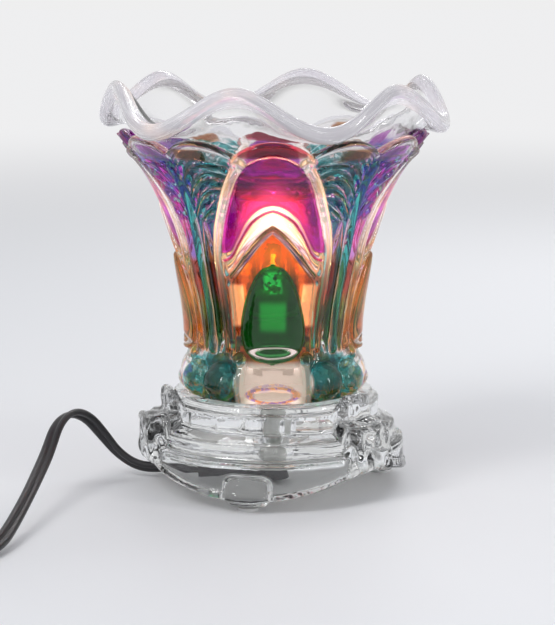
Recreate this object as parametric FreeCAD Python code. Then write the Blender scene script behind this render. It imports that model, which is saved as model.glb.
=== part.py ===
import FreeCAD, Part
import math
import os

os.makedirs("parts", exist_ok=True)

V = FreeCAD.Vector
UP = V(0, 0, 1)
FRONT = V(0, -1, 0)
ORIGIN = V(0, 0, 0)
half_turn = 180
full_turn = 360
overrun = 2.0
seat_gap = 0.3
thread_gap = 0.05

# Base of clear glass: three tiers on a skirt, three corner blocks and three nub feet
pad_thickness = 1.0
pad_radius = 4.0
skirt_radius = 50.5
skirt_wall = 4.0
skirt_edge_height = 5.0
skirt_edge_arc = 102.0
skirt_top = 19.0
ceiling_height = 17.0
middle_tier_radius = 47.0
middle_tier_top = 26.5
top_tier_radius = 41.0
top_tier_top = 34.4
crown_radius = 38.6
base_top = 36.8
tier_round = 1.0
base_sides = 3
panel_angle = -12.0
lower_block_width = 18.0
lower_block_reach = 52.0
lower_block_depth = 8.5
lower_block_bottom = 11.5
lower_block_top = 26.0
upper_block_width = 15.0
upper_block_reach = 43.5
upper_block_depth = 7.5
upper_block_bottom = 21.0
upper_block_top = 36.0
block_round = 2.4
nub_width = 17.0
nub_reach = 48.6
nub_depth = 9.0
nub_top = 12.5
nub_round = 3.6

# Clamp through the base: a threaded tube with its nuts and washers
tube_radius = 5.0
tube_bore = 3.2
tube_bottom = 10.0
nut_sides = 6
nut_across_flats = 14.0
nut_thickness = 3.5
rubber_washer_radius = 12.0
rubber_washer_thickness = 1.6
steel_washer_radius = 11.0
steel_washer_thickness = 1.2
tube_stand_out = 0.6

# Plate, bracket and ceramic holder
plate_radius = 26.5
plate_thickness = 1.0
plate_rim_height = 1.6
plate_rim_width = 1.2
strip_thickness = 1.0
strip_width = 13.0
bracket_leg_top = 53.0
holder_length = 20.4
holder_width = 15.0
holder_bottom = 44.2
holder_top = 64.6
holder_round = 4.0
holder_slot_length = 11.4
holder_slot_width = 5.4
holder_slot_depth = 2.6
bracket_gap = 0.1
screw_height = 49.0
screw_shank_radius = 1.4
screw_head_radius = 2.6
screw_head_thickness = 1.6
screw_depth = 3.0
pin_pitch = 8.0
contact_radius = 1.25
contact_bottom = 50.0
contact_top = 61.4
wire_radius = 0.8
wire_pitch = 2.8

# Bulb: a halogen capsule on two pins
pin_radius = 0.5
pin_running_gap = 0.05
pin_bottom = 54.4
pinch_width = 10.0
pinch_depth = 3.6
pinch_bottom = 64.9
pinch_top = 76.0
pinch_round = 1.2
capsule_radius = 6.5
capsule_wall = 1.0
capsule_bottom = 74.0
capsule_shoulder = 5.0
capsule_top = 97.0
tip_radius = 1.1
tip_height = 1.4
filament_radius = 0.9
filament_bottom = 80.5
filament_top = 89.5
support_radius = 0.35
support_offset = 3.4
support_bend = 1.2

# Shade of pressed glass: its outer side, then the wall left inside it
shade_height = 99.8
shade_mouth_radius = 60.2
shade_outer_shares = [(0.0, 0.573), (0.05, 0.594), (0.10, 0.585), (0.145, 0.548), (0.19, 0.522),
                      (0.24, 0.518), (0.34, 0.537), (0.45, 0.578), (0.56, 0.626), (0.67, 0.672),
                      (0.75, 0.717), (0.87, 0.83), (0.94, 0.92), (1.0, 1.0)]
shade_wall_shares = [(0.0, 0.118), (0.13, 0.105), (0.20, 0.08), (0.34, 0.078), (0.56, 0.078),
                     (0.75, 0.076), (0.87, 0.076), (1.0, 0.072)]
lip_petals = 12
lip_arch_drop = 5.0
face_count = 4
seam_angle = 40.5
column_proud = 1.1
column_width = 3.0
column_top_height = 90.0
column_top_offset = 13.6
column_wide_height = 58.4
column_wide_offset = 18.6
column_foot_height = 20.0
column_foot_offset = 15.2
chevron_proud = 1.0
chevron_width = 2.6
chevron_apex_height = 76.4
chevron_side_height = 54.0
chevron_side_offset = 16.2
chevron_bow = 2.2
inner_arch_proud = 0.7
inner_arch_apex_height = 64.2
inner_arch_foot_height = 16.5
inner_arch_half_width = 12.6
inner_arch_bow = 3.2
egg_wide_height = 27.0
egg_top_height = 55.5
egg_bottom_height = 14.0
egg_radius = 12.0
egg_side_shares = [(-0.75, 0.62), (-0.35, 0.93), (0.0, 1.0), (0.35, 0.93), (0.7, 0.66), (0.9, 0.34)]
egg_proud = 3.0
wall_bite = 1.3
lancet_proud = 0.9
lancet_angle = 35.0
lancet_bottom_height = 18.5
lancet_top_height = 70.0
lancet_half_width = 2.6
rib_proud = 1.6
rib_width = 3.4
rib_bottom_height = 19.0
rib_top_height = 90.5
foot_lobe_angle = 12.5
foot_lobe_height = 8.2
foot_lobe_radius = 8.4
foot_lobe_proud = 3.0
dimple_angle = 25.0
dimple_height = 15.6
dimple_radius = 2.6

# Dish of clear glass with a ruffled rim: each ring has a radius, a height and its part of the ruffle
ruffle_count = 6
ruffle_angle = -18.0
ruffle_rise = 6.9
ruffle_draw = 3.6
dish_overhang = 5.2
dish_height = 38.4
dish_seat_gap = 0.4
poles_per_ruffle = 10
dish_degree = 3
dish_seat_shares = (0.689, 0.307)
dish_ring_shares = [(0.21, 0.0, 0.0), (0.37, 0.0, 0.0), (0.575, 0.085, 0.0), (0.695, 0.31, 0.0),
                    (0.775, 0.525, 0.0), (0.86, 0.73, 0.2), (0.93, 0.775, 0.82), (0.985, 0.81, 1.0),
                    (1.005, 0.905, 1.0), (0.975, 0.995, 1.0), (0.905, 0.925, 0.9), (0.825, 0.83, 0.45),
                    (0.745, 0.65, 0.05), (0.68, 0.46, 0.0), (0.575, 0.235, 0.0), (0.37, 0.11, 0.0),
                    (0.18, 0.11, 0.0)]

# Supply lead, its strain relief and its route in points chosen by hand
cord_diameter = 5.2
relief_axis_height = 5.0
relief_elbow_radius = 6.0
relief_bottom = 1.6
relief_root_radius = 4.6
relief_end_radius = 3.4
relief_reach = 30.0
arc_share = 0.45
dimmer_entry = V(-127.0, -121.6, 9.0)
lead_route = [
    V(-30.0, 0.0, 5.0),
    V(-41.5, 0.0, 5.0),
    V(-52.0, 2.6, 4.2),
    V(-60.6, 5.6, 8.8),
    V(-66.8, 5.2, 17.0),
    V(-72.0, 0.2, 25.0),
    V(-77.4, -8.2, 28.9),
    V(-81.8, -19.0, 26.6),
    V(-84.0, -32.5, 18.9),
    V(-86.2, -48.0, 14.0),
    V(-88.4, -66.0, 9.7),
    V(-91.0, -85.0, 5.8),
    V(-93.4, -99.6, 3.4),
    V(-98.6, -110.6, 2.8),
    V(-107.0, -118.0, 4.8),
    V(-116.6, -121.6, 9.0),
    dimmer_entry,
]
second_route = [
    V(-177.0, -121.6, 9.0),
    V(-189.0, -121.6, 9.0),
    V(-201.9, -114.2, 4.2),
    V(-207.9, -101.0, 2.8),
    V(-209.4, -85.9, 2.75),
    V(-209.4, -71.2, 2.75),
]
coil_turn_radius = 38.8
coil_turn_gap = 0.85
coil_turns_in_layer = 3
coil_entry = V(-209.4, -66.0, 2.75)
coil_turn_step = cord_diameter + coil_turn_gap
samples_per_diameter = 5

# Dimmer in a case of two shells on the lead, with a wheel that stands out at both sides
dimmer_length = 44.0
dimmer_width = 25.0
dimmer_height = 18.0
dimmer_round = 7.0
dimmer_edge_round = 2.5
dimmer_collar_length = 3.0
dimmer_collar_radius = 4.6
dimmer_wheel_radius = 14.6
dimmer_wheel_thickness = 4.6
dimmer_wheel_gap = 0.5
dimmer_wheel_dents = 24
dimmer_dent_radius = 0.9
dimmer_axle_radius = 2.0
dimmer_axle_gap = 0.05
dimmer_axle_half_length = 6.0
dimmer_screw_offset = 18.5
dimmer_screw_inset = 0.6
dimmer_screw_radius = 1.3
dimmer_screw_head_radius = 2.4
dimmer_screw_head_depth = 1.8
dimmer_screw_length = 12.0

# Flat plug with two blades
plug_relief_length = 18.0
plug_relief_radius = 3.2
plug_relief_root_radius = 4.6
plug_shoulder_length = 9.0
plug_root_width = 12.0
plug_root_height = 11.0
plug_width = 23.0
plug_height = 17.4
plug_body_length = 28.0
plug_corner_round = 4.0
blade_pitch = 12.7
blade_width = 6.35
blade_thickness = 1.5
blade_length = 17.5
blade_hole_radius = 1.6
blade_hole_inset = 3.6
last_run_length = 20.0


def spun(shape, angle):
    """Copy turned about the vertical axis."""
    copy = shape.copy()
    copy.rotate(ORIGIN, UP, angle)
    return copy


def around(shape, count, start=0):
    """Copies of a shape, evenly spaced about the vertical axis."""
    return [spun(shape, start + i * full_turn / count) for i in range(count)]


def outline(points):
    """Closed wire through (across, up, rounding) corners in the XZ plane."""
    corners = [V(across, 0, up) for across, up, _ in points]
    legs = []
    for i, (_, _, rounding) in enumerate(points):
        here = corners[i]
        if not rounding:
            legs.append((here, here, None))
            continue
        back = (corners[i - 1] - here).normalize()
        ahead = (corners[(i + 1) % len(corners)] - here).normalize()
        half = back.getAngle(ahead) / 2
        reach = rounding / math.tan(half)
        inward = (back + ahead).normalize()
        center = here + inward * (rounding / math.sin(half))
        legs.append((here + back * reach, here + ahead * reach, center - inward * rounding))
    edges = []
    for i, (start, end, through) in enumerate(legs):
        if through:
            edges.append(Part.Arc(start, through, end).toShape())
        edges.append(Part.LineSegment(end, legs[(i + 1) % len(legs)][0]).toShape())
    return Part.Wire(edges)


def turned(points):
    """Solid turned about the vertical axis from a closed outline."""
    return Part.Face(outline(points)).revolve(ORIGIN, UP, full_turn)


def disc(radius, bottom, top, x=0, y=0):
    return Part.makeCylinder(radius, top - bottom, V(x, y, bottom))


def ring(inner, outer, bottom, top):
    return disc(outer, bottom, top).cut(disc(inner, bottom - overrun, top + overrun))


def block(width, near, far, bottom, top, rounding=0):
    """Box centred on the front line, from the near to the far distance from the axis."""
    box = Part.makeBox(width, far - near, top - bottom, V(-width / 2, -far, bottom))
    return box.makeFillet(rounding, box.Edges) if rounding else box


def upright_edges(box):
    return [edge for edge in box.Edges if abs(edge.tangentAt(edge.FirstParameter).z) == 1]


def prism(face, reach):
    """Face in the XZ plane, pushed from the axis out to the front."""
    return face.extrude(FRONT * reach)


def arch_face(half_width, side, apex, limit):
    """Face in the XZ plane between an arch, its ends at the side height, and a level line."""
    arch = Part.Arc(V(-half_width, 0, side), V(0, 0, apex), V(half_width, 0, side)).toShape()
    corners = [V(half_width, 0, side), V(half_width, 0, limit), V(-half_width, 0, limit), V(-half_width, 0, side)]
    return Part.Face(Part.Wire([arch] + Part.makePolygon(corners).Edges))


# Glass base
def skirt_cut():
    """What lies under the bowed edge of one panel of the skirt."""
    half_width = skirt_radius * math.sin(math.pi / base_sides)
    rise = skirt_edge_arc - math.sqrt(skirt_edge_arc**2 - half_width**2)
    face = arch_face(half_width, skirt_edge_height + rise, skirt_edge_height, -overrun)
    return prism(face, skirt_radius + overrun)


def glass_base():
    inside = skirt_radius - skirt_wall
    hole = tube_radius + seat_gap
    body = turned([
        (hole, ceiling_height, 0), (inside, ceiling_height, tier_round), (inside, pad_thickness, 0),
        (skirt_radius, pad_thickness, 0), (skirt_radius, skirt_top, tier_round),
        (middle_tier_radius, skirt_top, 0), (middle_tier_radius, middle_tier_top, tier_round),
        (top_tier_radius, middle_tier_top, 0), (top_tier_radius, top_tier_top, tier_round),
        (crown_radius, top_tier_top, 0), (crown_radius, base_top, tier_round), (hole, base_top, 0)])
    body = body.cut(around(skirt_cut(), base_sides, panel_angle))
    lower = block(lower_block_width, lower_block_reach - lower_block_depth, lower_block_reach,
                  lower_block_bottom, lower_block_top, block_round)
    upper = block(upper_block_width, upper_block_reach - upper_block_depth, upper_block_reach,
                  upper_block_bottom, upper_block_top, block_round)
    nub = block(nub_width, nub_reach - nub_depth, nub_reach, pad_thickness, nub_top, nub_round)
    corner_angle = panel_angle + half_turn / base_sides
    parts = around(lower, base_sides, corner_angle) + around(upper, base_sides, corner_angle)
    return body.fuse(parts + around(nub, base_sides, panel_angle)).removeSplitter()


def foot_pads():
    pad = disc(pad_radius, 0, pad_thickness, 0, -(nub_reach - nub_depth / 2))
    return Part.makeCompound(around(pad, base_sides, panel_angle))


# Clamp, plate, bracket and holder
plate_bottom = base_top
plate_top = plate_bottom + plate_thickness
strip_top = plate_top + strip_thickness
top_nut_top = strip_top + nut_thickness
tube_top = top_nut_top + tube_stand_out
rubber_washer_bottom = ceiling_height - rubber_washer_thickness
steel_washer_bottom = rubber_washer_bottom - steel_washer_thickness
bottom_nut_bottom = steel_washer_bottom - nut_thickness
clamp_bore = tube_radius + thread_gap
bracket_inside = holder_length / 2 + bracket_gap
bracket_outside = bracket_inside + strip_thickness


def threaded_tube():
    return ring(tube_bore, tube_radius, tube_bottom, tube_top)


def hex_nut(bottom):
    corner_radius = nut_across_flats / 2 / math.cos(math.pi / nut_sides)
    corner = Part.Vertex(V(corner_radius, 0, bottom))
    corners = [copy.Point for copy in around(corner, nut_sides)]
    nut = Part.Face(Part.makePolygon(corners + corners[:1])).extrude(UP * nut_thickness)
    return nut.cut(disc(clamp_bore, bottom - overrun, bottom + nut_thickness + overrun))


def socket_plate():
    return turned([
        (clamp_bore, plate_bottom, 0), (plate_radius, plate_bottom, 0),
        (plate_radius, plate_top + plate_rim_height, 0),
        (plate_radius - plate_rim_width, plate_top + plate_rim_height, 0),
        (plate_radius - plate_rim_width, plate_top, 0), (clamp_bore, plate_top, 0)])


def screw_pair(radius, near, far):
    """Two level cylinders on the line of the holder's screws, one at each end."""
    direction = V(1, 0, 0)
    one = Part.makeCylinder(radius, far - near, V(near, 0, screw_height), direction)
    return [one, spun(one, half_turn)]


def socket_bracket():
    strip = outline([
        (-bracket_outside, plate_top, 0), (bracket_outside, plate_top, 0), (bracket_outside, bracket_leg_top, 0),
        (bracket_inside, bracket_leg_top, 0), (bracket_inside, strip_top, 0), (-bracket_inside, strip_top, 0),
        (-bracket_inside, bracket_leg_top, 0), (-bracket_outside, bracket_leg_top, 0)])
    strip = prism(Part.Face(strip), strip_width)
    strip.translate(V(0, strip_width / 2, 0))
    strip = strip.cut(disc(clamp_bore, plate_bottom, top_nut_top))
    return strip.cut(screw_pair(screw_shank_radius + thread_gap, bracket_inside - overrun,
                                bracket_outside + overrun))


def socket_screws():
    shanks = screw_pair(screw_shank_radius, holder_length / 2 - screw_depth, bracket_outside)
    heads = screw_pair(screw_head_radius, bracket_outside, bracket_outside + screw_head_thickness)
    return Part.makeCompound([shank.fuse(head) for shank, head in zip(shanks, heads)])


def socket_body():
    body = Part.makeBox(holder_length, holder_width, holder_top - holder_bottom,
                        V(-holder_length / 2, -holder_width / 2, holder_bottom))
    body = body.makeFillet(holder_round, upright_edges(body))
    slot = Part.makeBox(holder_slot_length, holder_slot_width, holder_slot_depth + overrun,
                        V(-holder_slot_length / 2, -holder_slot_width / 2, holder_top - holder_slot_depth))
    holes = [disc(contact_radius + thread_gap, contact_bottom, holder_top, side * pin_pitch / 2)
             for side in (-1, 1)]
    screws = screw_pair(screw_shank_radius + thread_gap, holder_length / 2 - screw_depth - thread_gap,
                        bracket_outside)
    return body.cut([slot] + holes + screws)


def socket_contacts():
    bore = pin_radius + pin_running_gap
    sleeves = []
    for side in (-1, 1):
        sleeve = disc(contact_radius, contact_bottom, contact_top, side * pin_pitch / 2)
        sleeves.append(sleeve.cut(disc(bore, contact_bottom + bore, holder_top, side * pin_pitch / 2)))
    return Part.makeCompound(sleeves)


def lead_wires():
    return Part.makeCompound([disc(wire_radius, tube_bottom, holder_bottom, side * wire_pitch / 2)
                              for side in (-1, 1)])


# Bulb
def bulb_pins():
    return Part.makeCompound([disc(pin_radius, pin_bottom, pinch_bottom, side * pin_pitch / 2)
                              for side in (-1, 1)])


def bulb_envelope():
    inside = capsule_radius - capsule_wall
    shoulder = capsule_shoulder - capsule_wall
    roof = capsule_top - capsule_wall
    floor = pinch_top + capsule_wall
    glass = turned([
        (0, capsule_bottom, 0), (capsule_radius, capsule_bottom, capsule_shoulder),
        (capsule_radius, capsule_top, capsule_shoulder), (tip_radius, capsule_top, 0),
        (0, capsule_top + tip_height, 0), (0, roof, 0), (inside, roof, shoulder), (inside, floor, shoulder),
        (0, floor, 0)])
    pinch = Part.makeBox(pinch_width, pinch_depth, pinch_top - pinch_bottom,
                         V(-pinch_width / 2, -pinch_depth / 2, pinch_bottom))
    return glass.fuse(pinch.makeFillet(pinch_round, upright_edges(pinch))).removeSplitter()


def bulb_filament():
    return disc(filament_radius, filament_bottom, filament_top)


def bulb_supports():
    """One bent wire rises beside the filament and crosses to its top, and one straight wire holds its foot."""
    floor = pinch_top + capsule_wall
    shoulder = capsule_shoulder - capsule_wall
    beyond = support_offset + support_radius - (capsule_radius - capsule_wall - shoulder)
    foot = floor + shoulder - math.sqrt(shoulder**2 - beyond**2)
    top = filament_top + support_radius
    bend_start = V(support_offset, 0, top - support_bend)
    bend_end = V(support_offset - support_bend, 0, top)
    middle = V(support_offset - support_bend, 0, top - support_bend) + V(1, 0, 1).normalize() * support_bend
    path = Part.Wire([Part.LineSegment(V(support_offset, 0, foot), bend_start).toShape(),
                      Part.Arc(bend_start, middle, bend_end).toShape(),
                      Part.LineSegment(bend_end, V(0, 0, top)).toShape()])
    section = Part.Wire(Part.makeCircle(support_radius, V(support_offset, 0, foot)))
    bent = path.makePipeShell([section], True, False)
    return Part.makeCompound([bent, disc(support_radius, floor, filament_bottom)])


# Glass shade
shade_foot = base_top + seat_gap


def share_at(shares, place):
    """Value of a list of (place, value) shares at a place, by straight lines between them."""
    for (low, first), (high, second) in zip(shares, shares[1:]):
        if place <= high:
            return first + (second - first) * (place - low) / (high - low)
    return shares[-1][1]


def shade_radius(height):
    """Radius of the shade's outer side at a height above its foot."""
    return shade_mouth_radius * share_at(shade_outer_shares, height / shade_height)


def shade_wall(height):
    return shade_mouth_radius * share_at(shade_wall_shares, height / shade_height)


def shade_ring(outer_shift, inner_shift=None):
    """Solid ring that follows the shade's outer side between two shifts, or down to its inner side."""
    heights = [share * shade_height for share, _ in shade_outer_shares]
    outer = [V(shade_radius(h) + outer_shift, 0, shade_foot + h) for h in heights]
    if inner_shift is None:
        inner = [V(shade_radius(h) - shade_wall(h), 0, shade_foot + h) for h in heights]
    else:
        inner = [V(shade_radius(h) + inner_shift, 0, shade_foot + h) for h in heights]
    curves = []
    for points in (outer, inner):
        curve = Part.BSplineCurve()
        curve.interpolate(points)
        curves.append(curve.toShape())
    lip = Part.LineSegment(outer[-1], inner[-1]).toShape()
    foot = Part.LineSegment(inner[0], outer[0]).toShape()
    wire = Part.Wire(Part.__sortEdges__([curves[0], lip, curves[1], foot]))
    return Part.Face(wire).revolve(ORIGIN, UP, full_turn)


def raised(face, proud):
    """What a face, seen from the front, cuts out of a skin on the shade's outer side."""
    body = prism(face, shade_mouth_radius + overrun)
    return body.common(shade_ring(proud, -proud))


def upright_band(places, width):
    """Face of even width along (offset, height) places on the shade."""
    sides = []
    for side in (-1, 1):
        curve = Part.BSplineCurve()
        curve.interpolate([V(offset + side * width / 2, 0, shade_foot + height) for offset, height in places])
        sides.append(curve)
    ends = [Part.LineSegment(sides[0].value(sides[0].LastParameter), sides[1].value(sides[1].LastParameter)),
            Part.LineSegment(sides[0].value(sides[0].FirstParameter), sides[1].value(sides[1].FirstParameter))]
    edges = [curve.toShape() for curve in sides + ends]
    return Part.Face(Part.Wire(Part.__sortEdges__(edges)))


def pointed_face(half_width, foot_height, apex_height, bow):
    """Pointed arch as a face, its two sides bowed outward."""
    foot = shade_foot + foot_height
    apex = V(0, 0, shade_foot + apex_height)
    edges = [Part.LineSegment(V(-half_width, 0, foot), V(half_width, 0, foot)).toShape()]
    for side in (-1, 1):
        corner = V(side * half_width, 0, foot)
        out = (apex - corner).cross(FRONT).normalize() * (bow * side)
        edges.append(Part.Arc(corner, (corner + apex) * 0.5 - out, apex).toShape())
    return Part.Face(Part.Wire(Part.__sortEdges__(edges)))


def lens_face(half_width, foot_height, apex_height):
    """Slender leaf, pointed at both ends."""
    foot = V(0, 0, shade_foot + foot_height)
    apex = V(0, 0, shade_foot + apex_height)
    middle = (foot + apex) * 0.5
    sides = [Part.Arc(foot, middle + V(side * half_width, 0, 0), apex).toShape() for side in (-1, 1)]
    return Part.Face(Part.Wire(sides))


def on_wall(shape, height, proud):
    """Shape about the origin, moved to stand proud of the shade's front, and cut off inside the wall."""
    reach = -shape.BoundBox.YMin
    slope = math.atan2(shade_radius(height + reach) - shade_radius(height - reach), 2 * reach)
    shape.rotate(ORIGIN, V(1, 0, 0), math.degrees(slope))
    shape.translate(V(0, reach - shade_radius(height) - proud, shade_foot + height))
    return shape.common(shade_ring(reach, -wall_bite))


def egg():
    """Egg with its wide end down, turned about its own axis."""
    top = V(0, 0, egg_top_height - egg_wide_height)
    bottom = V(0, 0, egg_bottom_height - egg_wide_height)
    side = Part.BSplineCurve()
    places = [bottom] + [V(egg_radius * out, 0, (top if up > 0 else bottom).z * abs(up))
                         for up, out in egg_side_shares] + [top]
    side.interpolate(places)
    wire = Part.Wire([side.toShape(), Part.LineSegment(top, bottom).toShape()])
    return Part.Face(wire).revolve(ORIGIN, UP, full_turn)


def face_relief():
    """Columns, arches and egg of one face of the shade."""
    columns = [(column_foot_offset, column_foot_height), (column_wide_offset, column_wide_height),
               (column_top_offset, column_top_height)]
    pieces = []
    for side in (-1, 1):
        places = [(side * offset, height) for offset, height in columns]
        pieces.append(raised(upright_band(places, column_width), column_proud))
    outer = pointed_face(chevron_side_offset, chevron_side_height, chevron_apex_height, chevron_bow)
    inner = pointed_face(chevron_side_offset - chevron_width, chevron_side_height - overrun,
                         chevron_apex_height - chevron_width, chevron_bow)
    pieces.append(raised(outer.cut(inner), chevron_proud))
    pieces.append(raised(pointed_face(inner_arch_half_width, inner_arch_foot_height, inner_arch_apex_height,
                                      inner_arch_bow), inner_arch_proud))
    pieces.append(on_wall(egg(), egg_wide_height, egg_proud))
    for side in (-1, 1):
        lancet = raised(lens_face(lancet_half_width, lancet_bottom_height, lancet_top_height), lancet_proud)
        pieces.append(spun(lancet, side * lancet_angle))
        dimple = Part.makeSphere(dimple_radius, V(0, -shade_radius(dimple_height), shade_foot + dimple_height))
        pieces.append(spun(dimple, side * dimple_angle))
    return pieces


def corner_relief():
    """Rib and two foot lobes of one corner of the shade."""
    rib = upright_band([(0, rib_bottom_height), (0, (rib_bottom_height + rib_top_height) / 2),
                        (0, rib_top_height)], rib_width)
    lobe = on_wall(Part.makeSphere(foot_lobe_radius), foot_lobe_height, foot_lobe_proud)
    return [raised(rib, rib_proud), spun(lobe, foot_lobe_angle), spun(lobe, -foot_lobe_angle)]


def lip_cuts():
    """What lies over the arched petals of the shade's lip, one sector each."""
    half_angle = math.pi / lip_petals
    reach = shade_mouth_radius + overrun
    half_width = reach * math.tan(half_angle)
    apex = shade_foot + shade_height
    drop = lip_arch_drop * (half_width / (shade_mouth_radius * math.sin(half_angle)))**2
    above = prism(arch_face(half_width, apex - drop, apex, apex + overrun), reach)
    corners = [ORIGIN, V(-half_width, -reach, 0), V(half_width, -reach, 0), ORIGIN]
    sector = Part.Face(Part.makePolygon(corners)).extrude(UP * (apex + 2 * overrun))
    return around(above.common(sector), lip_petals)


def glass_shade():
    relief = []
    for piece in face_relief():
        relief += around(piece, face_count)
    for piece in corner_relief():
        relief += around(piece, face_count, half_turn / face_count)
    return spun(shade_ring(0), seam_angle).fuse(relief).cut(lip_cuts())


# Wax dish
dish_reach = shade_mouth_radius + dish_overhang


def seat_height(radius):
    """Height above the shade's foot at which its inner side has a radius, near the mouth."""
    step = seat_gap
    height = shade_height
    while height > 0 and shade_radius(height) - shade_wall(height) > radius:
        height -= step
    return height


dish_seat_share, dish_seat_up_share = dish_seat_shares
dish_seat_radius = dish_reach * dish_seat_share + dish_seat_gap
dish_bottom = shade_foot + seat_height(dish_seat_radius) - dish_height * dish_seat_up_share


def wax_dish():
    count = ruffle_count * poles_per_ruffle
    poles = []
    for i in range(count):
        angle = i * math.tau / count
        wave = math.cos(ruffle_count * (angle - math.radians(ruffle_angle - half_turn / 2)))
        row = []
        for radius_share, height_share, ruffle_share in dish_ring_shares:
            radius = dish_reach * radius_share - ruffle_draw * ruffle_share * wave
            height = dish_height * height_share + ruffle_rise * ruffle_share * wave
            row.append(V(radius * math.cos(angle), radius * math.sin(angle), dish_bottom + height))
        poles.append(row)
    rings = len(dish_ring_shares)
    across = [dish_degree + 1] + [1] * (rings - dish_degree - 1) + [dish_degree + 1]
    surface = Part.BSplineSurface()
    surface.buildFromPolesMultsKnots(poles, [1] * (count + 1), across, range(count + 1), range(len(across)),
                                     True, False, dish_degree, dish_degree)
    skin = surface.toShape()
    rims = [edge for edge in skin.Edges if edge.isClosed() and edge.BoundBox.ZLength < seat_gap]
    caps = [Part.Face(Part.Wire([edge])) for edge in rims]
    shell = Part.makeShell([skin] + caps)
    shell.sewShape()
    dish = Part.makeSolid(shell)
    if dish.Volume < 0:
        dish.reverse()
    return dish


# Supply lead
def tube_path(points):
    """Straight runs joined by tangent arcs, each as large as its two runs allow. Prints the radii."""
    edges = []
    radii = []
    start = points[0]
    for before, here, after in zip(points, points[1:], points[2:]):
        back = before - here
        ahead = after - here
        reach = arc_share * min(back.Length, ahead.Length)
        half = (math.pi - back.getAngle(ahead)) / 2
        radius = reach / math.tan(half)
        back.normalize()
        ahead.normalize()
        inward = (back + ahead).normalize()
        middle = here + inward * (radius / math.cos(half) - radius)
        edges.append(Part.LineSegment(start, here + back * reach).toShape())
        start = here + ahead * reach
        edges.append(Part.Arc(here + back * reach, middle, start).toShape())
        radii.append(radius)
    edges.append(Part.LineSegment(start, points[-1]).toShape())
    print("bend radii", [round(radius, 1) for radius in radii])
    return Part.Wire(edges)


def tube(path):
    """Round lead along a path. Prints its length and how its volume compares with section times length."""
    first = path.OrderedEdges[0]
    start = first.valueAt(first.FirstParameter)
    section = Part.Wire(Part.makeCircle(cord_diameter / 2, start, first.tangentAt(first.FirstParameter)))
    lead = path.makePipeShell([section], True, False)
    expected = path.Length * math.pi * cord_diameter**2 / 4
    print("length", round(path.Length, 1), "volume ratio", round(lead.Volume / expected, 4))
    return lead


def coil_path():
    """Path that spirals in, climbs a layer and spirals out, clockwise from above, and where it ends."""
    middle = coil_entry + V(coil_turn_radius, 0, 0)
    half_step = coil_turn_step / 2
    crossings = [coil_turn_radius]
    for i in range(coil_turns_in_layer):
        crossings += [coil_turn_radius - i * coil_turn_step, coil_turn_radius - (i + 1) * coil_turn_step]
    climb_at = len(crossings) - 1
    crossings.append(crossings[-1] + half_step / 2)
    while len(crossings) <= 4 * coil_turns_in_layer:
        crossings.append(crossings[-1] + half_step)
    edges = [Part.LineSegment(coil_entry - V(0, cord_diameter, 0), coil_entry).toShape()]
    here = coil_entry
    lift = V(0, 0, 0)
    side = 1
    for i, crossing in enumerate(crossings[1:]):
        if i == climb_at:
            lift = V(0, 0, coil_turn_step)
        end = middle + V(side * crossing, 0, 0) + lift
        bulge = V(0, side * (end - here).Length / 2, 0)
        edges.append(Part.Arc(here, (here + end) * 0.5 + bulge, end).toShape())
        here = end
        side = -side
    exit_end = here + V(0, cord_diameter, 0)
    edges.append(Part.LineSegment(here, exit_end).toShape())
    return Part.Wire(edges), exit_end


def print_least_gap(path):
    """Least gap of the coil to itself, between points at least two diameters apart along it."""
    points = path.discretize(Distance=cord_diameter / samples_per_diameter)
    apart = 2 * samples_per_diameter
    least = min((points[i] - points[j]).Length for i in range(len(points)) for j in range(i + apart, len(points)))
    print("coil's least gap", round(least - cord_diameter, 2))


def cord_relief():
    elbow = disc(relief_elbow_radius, relief_bottom, tube_bottom)
    sleeve = Part.makeCone(relief_root_radius, relief_end_radius, relief_reach,
                           V(0, 0, relief_axis_height), V(-1, 0, 0))
    return elbow.fuse(sleeve)


# Dimmer
dimmer_axis_height = dimmer_height / 2
dimmer_middle = V(dimmer_entry.x - dimmer_collar_length - dimmer_length / 2, dimmer_entry.y, 0)


def dimmer_case():
    body = Part.makeBox(dimmer_length, dimmer_width, dimmer_height,
                        dimmer_middle - V(dimmer_length / 2, dimmer_width / 2, 0))
    body = body.makeFillet(dimmer_round, upright_edges(body))
    level = [edge for edge in body.Edges if edge.BoundBox.ZLength < seat_gap]
    body = body.makeFillet(dimmer_edge_round, level)
    span = dimmer_length + 2 * dimmer_collar_length
    collar = Part.makeCylinder(dimmer_collar_radius, span,
                               dimmer_middle + V(-span / 2, 0, dimmer_axis_height), V(1, 0, 0))
    pocket_half = dimmer_wheel_thickness / 2 + dimmer_wheel_gap
    pocket = disc(dimmer_wheel_radius + dimmer_wheel_gap, dimmer_axis_height - pocket_half,
                  dimmer_axis_height + pocket_half, dimmer_middle.x, dimmer_middle.y)
    return body.fuse(collar).cut([pocket, axle(dimmer_axle_gap)] + dimmer_screw_solids(dimmer_axle_gap))


def axle(gap=0):
    reach = dimmer_axle_half_length + gap
    return disc(dimmer_axle_radius + gap, dimmer_axis_height - reach, dimmer_axis_height + reach,
                dimmer_middle.x, dimmer_middle.y)


def dimmer_screw_solids(gap=0):
    """The case's two screws, or with a gap the holes for them, open at the underside."""
    screws = []
    for side in (-1, 1):
        x = dimmer_middle.x + side * dimmer_screw_offset
        shank = disc(dimmer_screw_radius + gap, dimmer_screw_inset, dimmer_screw_length + gap, x, dimmer_middle.y)
        low = -overrun if gap else dimmer_screw_inset
        head = disc(dimmer_screw_head_radius + gap, low, dimmer_screw_inset + dimmer_screw_head_depth,
                    x, dimmer_middle.y)
        screws.append(shank.fuse(head))
    return screws


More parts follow.
